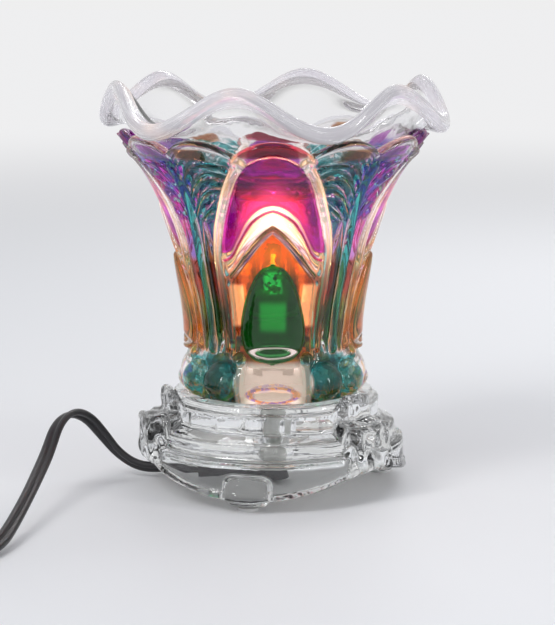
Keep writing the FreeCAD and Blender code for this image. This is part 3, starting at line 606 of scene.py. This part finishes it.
# Places where one tone turns into another, with their fade
TAUPE_TOP = (0.30, 0.04)
MOSS_TOP = (38.0, 4.0)
DOME_ROSE_EDGE = (15.0, 6.0)
LOBE_CHANGE = (6.0, 2.0)
PANEL_PAINT_FOOT = (68.0, 2.5)
PANEL_PAINT_TOP = (93.0, 1.0)
# Brightest height of each glow and how far it falls off, then how far glows reach round the lamp
ARCH_GLOW = (57.0, 7.0)
COLUMN_GLOW_SPAN = (68.0, 18.0)
ROSE_FALL = 6.0
ROSE_FAN = 17.0
EMBER_FAN = 19.0
CREAM_FAN = 13.0
STAIN_EDGE = 28.0
STAIN_FOOT = 15.5
WANDER = 2.4
OUTSIDE_COLUMN = 3.2
COLUMN_REACH = 2.3
EGG_MARGIN = 1.3
LEAF_MARGIN = 0.6
LEAF_SPREAD = 1.2
BAND_RATE = 3.4
BANDS_FOOT = 79.6
BANDS_DARK = 88.0
SWIRL_RATE = 2 * CRINKLE_RATE
SWIRL_WANDER = 6.0
WANDER_SCALE = 90.0
SPOT_SCALE = 230.0
DRIFT_SCALE = 55.0
FLAKE_SCALE = 420.0
PRESSED_SCALE = 170.0


def shade_glass():
    """Glass with transparent colour stains laid out on its relief, and lit warm round the lamp."""
    graph = Graph("stained_glass")
    both, below, step = graph.times, graph.below, graph.step
    axes = graph.add("ShaderNodeSeparateXYZ", {0: graph.place}).outputs
    turn = graph.math("ARCTAN2", axes[0], graph.times(axes[1], -1.0))
    wander = graph.times(graph.minus(graph.noise(WANDER_SCALE, 2.0), 0.5), WANDER)
    angle = graph.math("PINGPONG", graph.plus(graph.times(turn, math.degrees(1)), wander), HALF_FACE)
    height = graph.minus(graph.math("DIVIDE", axes[2], MM), SHADE_FOOT)
    height = graph.plus(height, graph.times(wander, 0.4))

    def by_height(table, foot, top):
        """A table's value at this height, with its start at the foot and its value at the top."""
        return graph.curve(height, foot + table + [(SHADE_HEIGHT, top)], SHADE_HEIGHT, HALF_FACE)

    def by_angle(table):
        return graph.curve(angle, table, HALF_FACE, SHADE_HEIGHT)

    def over(value, edge, soft):
        return below(edge, value, soft)

    def between(value, low, high, soft):
        masks = [] if low is None else [over(value, low, soft)]
        return both(*masks, *([] if high is None else [below(value, high, soft)]))

    def patch(name):
        low, high, fade, foot, top, rise = PATCHES[name]
        return both(between(angle, low, high, fade), between(height, foot, top, rise))

    def oval(middle, half_angle, rise):
        """Distance from an oval's middle on the face's middle line, 1 on its edge."""
        across = graph.math("DIVIDE", angle, half_angle)
        up = graph.math("DIVIDE", graph.minus(height, middle), rise)
        return graph.math("SQRT", graph.plus(graph.times(across, across), graph.times(up, up)))

    def bell(value, middle, width):
        """1 at a value, falling off smoothly on both sides of it."""
        share = graph.math("DIVIDE", graph.minus(value, middle), width)
        return graph.math("EXPONENT", graph.times(share, share, -1.0))

    def speckled(pattern, low, high, first, second):
        """One tone where a pattern is under low, another where it is over high."""
        return graph.mix(step(pattern, low, high), first, second)

    def layered(ground, layers):
        """Tones laid over each other in turn, each where its mask is."""
        for mask, paint in layers:
            ground = graph.mix(mask, ground, paint)
        return ground

    # Faces turned to the sides: the tones that they take below are painted colour for what the glass refracts
    # when seen edge-on, and their painted glow is dimmer
    beside = graph.minus(graph.math("ABSOLUTE", axes[0]), graph.math("ABSOLUTE", axes[1]))
    side = step(beside, -0.5 * MM, 0.5 * MM)
    chevron_top = by_angle(CHEVRON_TOP)
    chevron_foot = by_angle(CHEVRON_FOOT)
    band = graph.math("DIVIDE", graph.minus(height, chevron_foot), graph.minus(chevron_top, chevron_foot))
    column = by_height(COLUMN_LINE, [(0, 30)], 10)
    leaf_half = by_height(LEAF_EDGE[1:], [(0, 0), (17, 0)], 0)
    outside = over(angle, graph.plus(column, OUTSIDE_COLUMN), 0.6)
    on_column = between(graph.minus(angle, column), -COLUMN_REACH, COLUMN_REACH, 0.5)
    dome = both(below(angle, by_height(DOME_EDGE, [(0, 29.5)], 0), 0.5), over(height, chevron_top, 0.4))
    arms = both(over(height, chevron_foot, 0.5), below(height, chevron_top, 0.5),
                below(angle, STAIN_EDGE, 0.8))
    arch = both(below(height, chevron_foot, 0.5), below(angle, STAIN_EDGE, 0.6),
                over(height, STAIN_FOOT, 0.8))
    egg = both(below(angle, graph.plus(by_height(EGG_EDGE, [(0, 0)], 0), EGG_MARGIN), 0.35),
               between(height, *EGG_SPAN))
    # The ring round the eye is left clear, and its pale glow below is a painted highlight
    eye = between(oval(EYE_HEIGHT, EYE_HALF_ANGLE, EYE_RISE), *EYE_RING)
    # Pale peach beside the egg: partly the stain, partly painted warm lamplight, with a painted glow below as
    # well
    peach = patch("peach")
    aside = graph.math("ABSOLUTE", graph.minus(angle, LEAF_ANGLE + LEAF_MARGIN))
    leaf = both(below(aside, graph.times(leaf_half, LEAF_SPREAD), 0.5), between(height, *LEAF_SPAN))
    leaf_high = both(outside, between(height, *HIGH_LEAF_SPAN), graph.plus(graph.times(side, 0.65), 0.3))
    panel = both(outside, over(height, *PANEL_PAINT_FOOT), below(height, *PANEL_PAINT_TOP))
    # The lens's ring is speckled violet and amber below: painted colours of light refracted in the lens
    lens_reach = LENS_HALF_WIDTH * math.degrees(1) / FOOT_RADIUS
    lens_ring = between(oval(LENS_HEIGHT, lens_reach, LENS_RISE), *LENS_RING)

    spots = graph.noise(SPOT_SCALE, 2.0)
    drift = graph.noise(DRIFT_SCALE, 2.0)
    flakes = graph.noise(FLAKE_SCALE, 2.0)
    # Bands across the dome for the ripples of its glass: their dark lines and pink highlights are painted
    # into the stain, darker over the top
    wave = graph.math("SINE", graph.times(graph.plus(height, drift), BAND_RATE))
    wave = graph.plus(0.5, graph.times(wave, 0.48))
    bands = graph.mix(over(height, BANDS_DARK, 1.0), graph.mix(wave, MAGENTA, PINK),
                      graph.mix(wave, PLUM, MAGENTA))
    # Rose towards the face's middle, where the lamp shines through: partly the stain, partly painted
    # lamplight
    low_dome = graph.mix(over(angle, *DOME_ROSE_EDGE), ROSE, MAGENTA)
    level = graph.plus(BANDS_FOOT, graph.times(drift, 0.8))
    dome_tone = graph.mix(over(height, level, 0.35), low_dome, bands)
    aslant = graph.minus(angle, CRINKLE_MIDDLE)
    bow = graph.plus(height, graph.times(aslant, aslant, CRINKLE_BOW))
    swirl = graph.math("SINE", graph.plus(graph.times(bow, SWIRL_RATE), graph.times(spots, SWIRL_WANDER)))
    panel_tone = graph.mix(side, speckled(swirl, 0.0, 0.7, TEAL, CLEAR),
                           speckled(spots, 0.42, 0.6, INDIGO, MAGENTA))
    low_lobe = both(step(flakes, 0.46, 0.52), below(height, *LOBE_CHANGE))
    # Flecks of painted highlight over the lobes' upper part
    lobe_highlights = both(step(spots, 0.54, 0.62), over(height, *LOBE_CHANGE))
    lobe_tone = graph.mix(low_lobe, graph.mix(lobe_highlights, TEAL, SEA_HIGHLIGHT), speckled(flakes, 0.5, 0.54, AMBER, MOSS))
    color = layered(CLEAR, [
        (leaf_high, speckled(drift, 0.42, 0.58, VIOLET, PINK)),
        (leaf, graph.mix(below(height, *MOSS_TOP), RUBY, MOSS)),
        (patch("strip"), speckled(spots, 0.4, 0.7, BROWN, AMBER)),
        (panel, speckled(flakes, 0.6, 0.66, panel_tone, SEA_HIGHLIGHT)),
        (patch("petal"), graph.mix(side, BROWN, MAGENTA)),
        (arch, speckled(spots, 0.45, 0.7, AMBER, BROWN)),
        (both(arch, patch("frame"), 0.75), BROWN),
        (peach, PEACH),
        (both(arms, below(band, *TAUPE_TOP)), TAUPE),
        (both(arms, between(band, *ROSE_BAND)), ROSE),
        (dome, dome_tone),
        (patch("lip"), graph.mix(side, MAROON, MAGENTA)),
        (patch("rib"), TEAL),
        (patch("lobes"), lobe_tone),
        (egg, graph.mix(side, EMERALD, RUST)),
        (both(egg, eye), CLEAR),
        (lens_ring, speckled(flakes, 0.44, 0.56, VIOLET, AMBER))])

    hot = graph.math("ADD", *(between(band, *span) for span in HOT_BANDS), clamp=True)
    reach = graph.plus(graph.times(bell(angle, 0.0, EMBER_FAN), 0.85), 0.15)
    # Painted glow in the egg: a lit patch where the socket shows through, and glints near its top
    socket = both(patch("socket"), graph.spread(drift, 0.1, 0.75))
    glint = both(patch("glint"), step(flakes, 0.46, 0.54))
    in_egg = graph.mix(graph.math("ADD", socket, glint, clamp=True), DARK, GREEN_GLOW)
    glow = layered(DARK, [
        (both(dome, bell(height, chevron_top, ROSE_FALL), bell(angle, 0.0, ROSE_FAN)), ROSE_GLOW),
        (both(arch, bell(height, *ARCH_GLOW)), AMBER_GLOW),
        (peach, PEACH_GLOW),
        (both(on_column, bell(height, *COLUMN_GLOW_SPAN)), COLUMN_GLOW),
        (both(arms, hot, reach), graph.mix(bell(angle, 0.0, CREAM_FAN), EMBER_GLOW, CREAM_GLOW)),
        (patch("window"), WINDOW_GLOW),
        (egg, graph.mix(eye, in_egg, PALE_GLOW)),
        (graph.times(side, 0.7), DARK)])
    graph.set(color=color, rough=graph.spread(spots, 0.015, 0.06), transmission=1.0, ior=GLASS_INDEX,
              emission=glow, glow=1.0)
    graph.bump(graph.noise(PRESSED_SCALE, 2.0), 0.2 * MM, 0.6)
    return graph.material


# Dish with a ruffled rim: rings are shares of its reach and height, with their part of the ruffle
DISH_REACH = 64.9
DISH_HEIGHT = 38.4
DISH_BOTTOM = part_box("wax_dish")[0][2] / MM
RUFFLES = 6
RUFFLE_ANGLE = -12.5
RUFFLE_RISE = 6.9
RUFFLE_DRAW = 2.5
RING_SHARES = [(0.21, 0.0, 0.0), (0.37, 0.0, 0.0), (0.575, 0.085, 0.0), (0.695, 0.31, 0.0),
               (0.775, 0.525, 0.0), (0.86, 0.73, 0.2), (0.93, 0.775, 0.82), (0.985, 0.81, 1.0),
               (1.005, 0.905, 1.0), (0.975, 0.995, 1.0), (0.905, 0.925, 0.9), (0.825, 0.83, 0.45),
               (0.745, 0.65, 0.05), (0.68, 0.46, 0.0), (0.575, 0.235, 0.0), (0.37, 0.11, 0.0),
               (0.18, 0.11, 0.0)]
DEGREE = 3
DISH_AROUND = 600
DISH_ROWS = 190
# The rolled rim: its rows of the mesh, its tones and its faint glows
RIM_ROWS = (0.385 * DISH_ROWS, 0.64 * DISH_ROWS)
RIM_TONES = (tone(0.84, 0.80, 0.85), tone(1.0, 0.98, 1.0))
RIM_GLOWS = (tone(0.02, 0.02, 0.02), tone(0.34, 0.19, 0.10))
STREAK_SCALE = 1100.0
STREAK_STRETCH = 5 * MM


def spline_weights(count, samples):
    """Weights of a clamped cubic spline's poles at even samples along it."""
    knots = np.concatenate([np.zeros(DEGREE), np.linspace(0, 1, count - DEGREE + 1), np.ones(DEGREE)])
    places = np.linspace(0, 1 - TINY, samples)
    basis = [(places >= knots[i]) & (places < knots[i + 1]) for i in range(len(knots) - 1)]
    basis = [row.astype(float) for row in basis]
    for degree in range(1, DEGREE + 1):
        raised = []
        for i in range(len(basis) - 1):
            left = knots[i + degree] - knots[i]
            right = knots[i + degree + 1] - knots[i + 1]
            row = np.zeros(samples)
            if left > 0:
                row += (places - knots[i]) / left * basis[i]
            if right > 0:
                row += (knots[i + degree + 1] - places) / right * basis[i + 1]
            raised.append(row)
        basis = raised
    return np.stack(basis, -1)


def dish_mesh():
    turn = np.radians(np.linspace(0, FULL_TURN, DISH_AROUND, endpoint=False))
    wave = np.cos(RUFFLES * (turn - math.radians(RUFFLE_ANGLE - RIGHT_ANGLE)))
    reach, rise, part = (np.array(column)[:, None] for column in zip(*RING_SHARES))
    radius = DISH_REACH * reach - RUFFLE_DRAW * part * wave
    height = DISH_HEIGHT * rise + RUFFLE_RISE * part * wave
    weights = spline_weights(len(RING_SHARES), DISH_ROWS)
    radius = weights @ radius
    height = weights @ height + DISH_BOTTOM
    points = np.stack([radius * np.cos(turn), radius * np.sin(turn), height], -1).reshape(-1, 3)
    middles = [[0, 0, height[0, 0]], [0, 0, height[-1, 0]]]
    faces = loop_faces(DISH_ROWS, DISH_AROUND, close_rows=False)
    column = np.arange(DISH_AROUND)
    after = (column + 1) % DISH_AROUND
    low, last = DISH_ROWS * DISH_AROUND, (DISH_ROWS - 1) * DISH_AROUND
    faces += np.stack([after, column, np.full(DISH_AROUND, low)], -1).tolist()
    faces += np.stack([last + column, last + after, np.full(DISH_AROUND, low + 1)], -1).tolist()
    return mesh_object("ruffled_dish", (np.concatenate([points, middles]) * MM).tolist(), faces)


def rim_glass():
    """The rolled rim: a little milky, and drawn into fine streaks along it."""
    graph = Graph("rim_glass")
    axes = graph.add("ShaderNodeSeparateXYZ", {0: graph.place}).outputs
    turn = graph.math("ARCTAN2", axes[1], axes[0])
    shifted = graph.minus(turn, math.radians(RUFFLE_ANGLE - RIGHT_ANGLE))
    wave = graph.math("COSINE", graph.times(shifted, float(RUFFLES)))
    level = graph.minus(axes[2], graph.times(wave, RUFFLE_RISE * MM))
    out = graph.math("SQRT", graph.plus(graph.times(axes[0], axes[0]), graph.times(axes[1], axes[1])))
    out = graph.plus(out, graph.times(wave, RUFFLE_DRAW * MM))
    along = graph.add("ShaderNodeCombineXYZ", {0: graph.times(turn, STREAK_STRETCH), 1: out, 2: level})
    streaks = graph.noise(STREAK_SCALE, 4.0, along.outputs[0])
    lines = graph.step(streaks, 0.35, 0.68)
    warm = graph.step(graph.noise(38.0, 2.0), 0.52, 0.75)
    graph.set(color=graph.mix(lines, *RIM_TONES), rough=graph.spread(lines, 0.06, 0.34), transmission=0.42,
              ior=GLASS_INDEX, coat=0.6, emission=graph.mix(warm, *RIM_GLOWS), glow=1.0)
    graph.bump(streaks, 0.25 * MM, 0.5)
    return graph.material


# Lead: a flat twin lead that turns slowly about its own line
LEAD_WIDTH = 5.2
LEAD_STEP = 1.6
LEAD_ROUTE = [(-30.0, 0.0, 5.0), (-41.5, 0.0, 5.0), (-52.0, 2.6, 4.2), (-60.6, 5.6, 8.8),
              (-66.8, 5.2, 17.0), (-72.0, 0.2, 25.0), (-77.4, -8.2, 28.9), (-81.8, -19.0, 26.6),
              (-84.0, -32.5, 18.9), (-86.2, -48.0, 14.0), (-88.4, -66.0, 9.7), (-91.0, -85.0, 5.8),
              (-93.4, -99.6, 3.4), (-98.6, -110.6, 2.8), (-107.0, -118.0, 4.8), (-116.6, -121.6, 9.0),
              (-127.0, -121.6, 9.0)]
SECOND_ROUTE = [(-177.0, -121.6, 9.0), (-189.0, -121.6, 9.0), (-201.9, -114.2, 4.2),
                (-207.9, -101.0, 2.8), (-209.4, -85.9, 2.75), (-209.4, -71.2, 2.75)]
COIL_ENTRY = (-209.4, -66.0, 2.75)
COIL_RADIUS = 38.8
COIL_GAP = 0.85
COIL_STEP = LEAD_WIDTH + COIL_GAP
COIL_TURNS = 3
POINTS_PER_HALF_TURN = 8
CONTROL_SHARE = 0.981
LAST_RUN = 20.0


def coil_points():
    """Control points of a coil that spirals in, climbs a layer and spirals out."""
    crossings = [COIL_RADIUS]
    for i in range(COIL_TURNS):
        crossings += [COIL_RADIUS - i * COIL_STEP, COIL_RADIUS - (i + 1) * COIL_STEP]
    climb_at = len(crossings) - 1
    crossings.append(crossings[-1] + COIL_STEP / 4)
    while len(crossings) <= 4 * COIL_TURNS:
        crossings.append(crossings[-1] + COIL_STEP / 2)
    x, y, z = COIL_ENTRY
    middle = x + COIL_RADIUS
    points = [(x, y - LEAD_WIDTH / 2, z)]
    side = 1
    for i, (start, end) in enumerate(zip(crossings, crossings[1:])):
        center = middle + side * (end - start) / 2
        radius = (start + end) / 2 / CONTROL_SHARE
        for k in range(POINTS_PER_HALF_TURN):
            share = (k + 0.5) / POINTS_PER_HALF_TURN
            climb = share if i == climb_at else float(i > climb_at)
            angle = math.pi * share
            points.append((center - side * radius * math.cos(angle), y + side * radius * math.sin(angle),
                           z + climb * COIL_STEP))
        side = -side
    end_x = middle - crossings[-1]
    top = z + COIL_STEP
    return points + [(end_x, y + LEAD_WIDTH / 2, top), (end_x, y + LEAD_WIDTH * 2, top),
                     (end_x, y + LEAD_WIDTH + LAST_RUN, top)]


def smooth_line(name, points):
    """Points read along a smooth curve with the route's points as its control points."""
    curve = bpy.data.curves.new(name, "CURVE")
    curve.dimensions = "3D"
    spline = curve.splines.new("NURBS")
    spline.points.add(len(points) - 1)
    for point, place in zip(spline.points, points):
        point.co = (*(value * MM for value in place), 1.0)
    spline.order_u = 3
    spline.use_endpoint_u = True
    spline.resolution_u = 10
    holder = bpy.data.objects.new(name, curve)
    bpy.context.collection.objects.link(holder)
    bpy.context.view_layer.update()
    line = bpy.data.meshes.new_from_object(holder)
    places = np.array([vertex.co[:] for vertex in line.vertices])
    bpy.data.objects.remove(holder)
    bpy.data.curves.remove(curve)
    bpy.data.meshes.remove(line)
    return places


def even_line(places, step):
    """The same line with its points an even step apart."""
    lengths = np.concatenate([[0], np.cumsum(np.linalg.norm(np.diff(places, axis=0), axis=1))])
    count = max(2, int(round(lengths[-1] / step)))
    even = np.linspace(0, lengths[-1], count + 1)
    return np.stack([np.interp(even, lengths, places[:, axis]) for axis in range(3)], -1)


def twin_section(width):
    """Outline of two round conductors side by side, joined by a web."""
    radius, notch, steps = width / 4, 0.6, 15
    half = [(radius + radius * math.cos(angle), radius * math.sin(angle))
            for angle in np.linspace(notch - math.pi, math.pi - notch, steps)]
    return half + [(-x, -y) for x, y in half]


def lead_mesh(name, points, twist_length, twist_start, turn_limit):
    """Flat twin lead along a route. It turns about its line to and fro, up to a limit in degrees."""
    line = even_line(smooth_line(name, points), LEAD_STEP * MM)
    section = np.array(twin_section(LEAD_WIDTH)) * MM
    tangents = np.gradient(line, axis=0)
    tangents /= np.linalg.norm(tangents, axis=1)[:, None]
    distance = np.arange(len(line)) * np.linalg.norm(line[1] - line[0]) / MM
    swing = math.radians(turn_limit) * np.sin(distance / twist_length * math.tau + twist_start)
    rows = []
    for place, tangent, angle in zip(line, tangents, swing):
        tangent = Vector(tangent)
        side = Vector((0, 0, 1)).cross(tangent).normalized()
        up = tangent.cross(side)
        wide = side * math.cos(angle) + up * math.sin(angle)
        thin = up * math.cos(angle) - side * math.sin(angle)
        rows.append([Vector(place) + wide * x + thin * y for x, y in section])
    count = len(section)
    points = [point[:] for row in rows for point in row]
    faces = loop_faces(len(rows), count, close_rows=False)
    faces += [list(range(count))[::-1], [(len(rows) - 1) * count + i for i in range(count)]]
    return mesh_object(name, points, faces), line.tolist()


def filament_mesh():
    """Wound filament, the wire itself a fine helix."""
    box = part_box("bulb_filament")
    low, length = box[0][2], box[1][2] - box[0][2]
    turns, radius, wire, sides, steps, climb = 16, 0.75 * MM, 0.16 * MM, 8, 16, 0.12
    rows = []
    for i in range(turns * steps + 1):
        share = i / (turns * steps)
        angle = share * turns * math.tau
        out = Vector((math.cos(angle), math.sin(angle), 0))
        place = out * radius + Vector((0, 0, low + length * share))
        ahead = Vector((-math.sin(angle), math.cos(angle), climb)).normalized()
        side = ahead.cross(out)
        rows.append([(place + out * wire * math.cos(k * math.tau / sides)
                      + side * wire * math.sin(k * math.tau / sides))[:] for k in range(sides)])
    points = [point for row in rows for point in row]
    return mesh_object("wound_filament", points, loop_faces(len(rows), sides, close_rows=False))


# Floor, light and background
FLOOR_TONE = (0.8, 0.8, 0.81, 1)
FLOOR_FAR_TONE = (0.86, 0.86, 0.87, 1.0)
FLOOR_ROUGHNESS = 0.5
FLOOR_REACH = 6
# Distances in metres between which the floor turns into its glow
FLOOR_FADE = (0.35, 1.6)
AMBIENT_TONE = (0.9, 0.93, 1.0, 1)
AMBIENT_STRENGTH = 0.55
# Brightness of the sky that glass shows, by its height as a share
SKY = [(0.0, 0.86), (0.16, 0.60), (0.5, 0.80), (1.0, 0.52)]
LIGHTS_AIM = Vector((0, 0, 0.08))


def add_floor():
    """Pale floor that turns into an even glow far off, so that no horizon shows."""
    corners = [(x * FLOOR_REACH, y * FLOOR_REACH, 0) for x, y in ((-1, -1), (1, -1), (1, 1), (-1, 1))]
    floor = mesh_object("floor", corners, [(0, 1, 2, 3)])
    graph = Graph("floor")
    graph.set(color=FLOOR_TONE, rough=FLOOR_ROUGHNESS)
    distance = graph.add("ShaderNodeVectorMath", {0: graph.place}, operation="LENGTH").outputs["Value"]
    far = graph.step(distance, *FLOOR_FADE)
    glow = graph.add("ShaderNodeEmission", {"Color": FLOOR_FAR_TONE}).outputs[0]
    mixed = graph.add("ShaderNodeMixShader", {0: far, 1: graph.shader.outputs[0], 2: glow})
    graph.put(graph.tree.nodes["Material Output"].inputs["Surface"], mixed.outputs[0])
    floor.data.materials.append(graph.material)


def add_world():
    """Even light for diffuse surfaces, and a pale sky with a darker band for what is seen in glass."""
    world = bpy.data.worlds.new("studio")
    bpy.context.scene.world = world
    world.use_nodes = True
    tree = world.node_tree
    nodes = tree.nodes
    background = nodes["Background"]
    background.inputs["Color"].default_value = AMBIENT_TONE
    background.inputs["Strength"].default_value = AMBIENT_STRENGTH
    seen = nodes.new("ShaderNodeBackground")
    path = nodes.new("ShaderNodeLightPath")
    place = nodes.new("ShaderNodeTexCoord")
    axes = nodes.new("ShaderNodeSeparateXYZ")
    ramp = nodes.new("ShaderNodeValToRGB")
    stops = ramp.color_ramp.elements
    while len(stops) < len(SKY):
        stops.new(0.5)
    for stop, (position, shade) in zip(stops, SKY):
        stop.position = position
        stop.color = (shade, shade, shade, 1)
    tree.links.new(place.outputs["Generated"], axes.inputs[0])
    tree.links.new(axes.outputs["Z"], ramp.inputs["Fac"])
    tree.links.new(ramp.outputs["Color"], seen.inputs["Color"])
    factor = path.outputs["Is Camera Ray"]
    for ray in ("Is Glossy Ray", "Is Transmission Ray"):
        either = nodes.new("ShaderNodeMath")
        either.operation = "MAXIMUM"
        tree.links.new(factor, either.inputs[0])
        tree.links.new(path.outputs[ray], either.inputs[1])
        factor = either.outputs[0]
    mix = nodes.new("ShaderNodeMixShader")
    tree.links.new(factor, mix.inputs["Fac"])
    tree.links.new(background.outputs[0], mix.inputs[1])
    tree.links.new(seen.outputs[0], mix.inputs[2])
    tree.links.new(mix.outputs[0], nodes["World Output"].inputs["Surface"])


def add_light(name, place, size, power, in_glass=False):
    """Area lamp. Only the narrow ones are seen in glass, so that highlights stay small."""
    light = bpy.data.lights.new(name, "AREA")
    light.shape = "RECTANGLE"
    light.size, light.size_y = size
    light.energy = power
    holder = bpy.data.objects.new(name, light)
    holder.location = place
    aim = LIGHTS_AIM - Vector(place)
    holder.rotation_euler = aim.to_track_quat("-Z", "Y").to_euler()
    holder.visible_glossy = in_glass
    holder.visible_transmission = in_glass
    bpy.context.collection.objects.link(holder)


def dress(piece, body, material):
    """Gives a shown piece its material and the body it moves with."""
    piece.data.materials.clear()
    piece.data.materials.append(material)
    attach(piece, body)


# The stage
add_camera()
add_floor()
add_world()
add_light("key", (-0.55, -0.55, 0.85), (0.45, 0.45), 4.2)
add_light("back", (0.5, 0.65, 0.6), (0.5, 0.3), 2.6)
add_light("fill", (0.8, -0.5, 0.35), (0.4, 0.6), 1.6)
add_light("strip_left", (-0.5, -0.45, 0.42), (0.025, 0.3), 0.55, True)
add_light("strip_right", (0.6, -0.3, 0.3), (0.025, 0.3), 0.42, True)
add_light("strip_back", (0.1, 0.6, 0.55), (0.35, 0.02), 0.4, True)
bpy.context.scene.view_settings.view_transform = "Standard"

# Pieces that take the place of CAD nodes
vinyl = solid_finish("black_vinyl", (0.016, 0.015, 0.017), (0.03, 0.028, 0.031), (0.28, 0.42), depth=0.03)
lead, lead_line = lead_mesh("twin_lead", LEAD_ROUTE, twist_length=190.0, twist_start=0.5, turn_limit=55.0)
dress(lead, "base", vinyl)
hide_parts("cord_to_dimmer")
second, second_line = lead_mesh("twin_lead_coil", SECOND_ROUTE + coil_points(), twist_length=260.0,
                                twist_start=1.2, turn_limit=80.0)
dress(second, "base", vinyl)
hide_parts("cord_from_dimmer", "cord_coil", "cord_to_plug")

shade = shade_mesh()
dress(shade, "shade", shade_glass())
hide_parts("glass_shade")
dish = dish_mesh()
dress(dish, "dish", clear_glass(
    "dish_glass", (0.95, 0.945, 0.96), (0.98, 0.98, 0.985), (0.01, 0.04), 0.25, 110.0))
dish.data.materials.append(rim_glass())
for face in dish.data.polygons:
    face.material_index = int(RIM_ROWS[0] < face.vertices[0] // DISH_AROUND < RIM_ROWS[1])
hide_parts("wax_dish")
base = softened("pressed_base", "glass_base", voxel=0.65 * MM, rounds=7, added=rolled_rim(),
                shift=base_shift)
dress(base, "base", clear_glass(
    "base_glass", (0.9409, 0.95545, 0.95545), (0.97, 0.985, 0.985), (0.01, 0.05), 0.12))
filament = filament_mesh()
lit = Graph("lit_tungsten")
lit.set(color=tone(0.4, 0.3, 0.2), rough=0.4, glow=5.0,
        emission=varied(lit, (1.0, 0.55, 0.2), (1.0, 0.75, 0.4), GRAIN_SCALE))
dress(filament, "bulb", lit.material)
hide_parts("bulb_filament")
plug = softened("moulded_plug", "plug_body", voxel=0.45 * MM, rounds=5)
dress(plug, "base", vinyl)

# CAD nodes that keep their shape, with finer materials
steel = solid_finish("zinc_plate", (0.5, 0.5, 0.48), (0.66, 0.65, 0.62), (0.22, 0.4), 1.0)
brass = solid_finish("bright_brass", (0.7, 0.52, 0.25), (0.82, 0.66, 0.36), (0.2, 0.35), 1.0)
reflector = solid_finish("satin_plate", (0.68, 0.67, 0.65), (0.82, 0.81, 0.79), (0.25, 0.4), 1.0)
ceramic = solid_finish("steatite", (0.78, 0.76, 0.71), (0.9, 0.88, 0.84), (0.45, 0.65), depth=0.05)
rubber = solid_finish("black_rubber", (0.02, 0.02, 0.02), (0.045, 0.045, 0.045), (0.6, 0.8), depth=0.05)
pad = solid_finish("pad_rubber", (0.6, 0.6, 0.59), (0.76, 0.76, 0.75), (0.5, 0.7), depth=0.05)
sleeve = solid_finish("glass_sleeve", (0.72, 0.7, 0.64), (0.88, 0.86, 0.8), (0.6, 0.8), depth=0.08)
wire = solid_finish("drawn_wire", (0.42, 0.41, 0.4), (0.6, 0.58, 0.55), (0.2, 0.3), 1.0)
case = solid_finish("dimmer_plastic", (0.018, 0.018, 0.02), (0.034, 0.034, 0.036), (0.3, 0.45), depth=0.06)
knob = solid_finish("wheel_plastic", (0.03, 0.03, 0.03), (0.055, 0.055, 0.055), (0.45, 0.6), depth=0.05)
quartz = clear_glass("quartz", (0.9603, 0.95545, 0.9409), (0.99, 0.985, 0.97), (0.0, 0.02), 0.03)

FINISHES = {
    "foot_pads": pad, "rubber_washer": rubber, "steel_washer": steel, "bottom_nut": steel, "top_nut": steel,
    "threaded_tube": steel, "socket_plate": reflector, "socket_bracket": steel, "socket_screws": steel,
    "socket_body": ceramic, "socket_contacts": brass, "lead_wires": sleeve, "bulb_pins": wire,
    "bulb_envelope": quartz, "bulb_supports": wire, "cord_relief": vinyl, "dimmer_lower_shell": case,
    "dimmer_upper_shell": case, "dimmer_wheel": knob, "dimmer_axle": steel, "dimmer_screws": steel,
    "plug_blades": brass}
for node, material in FINISHES.items():
    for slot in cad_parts[node].material_slots:
        slot.material = material
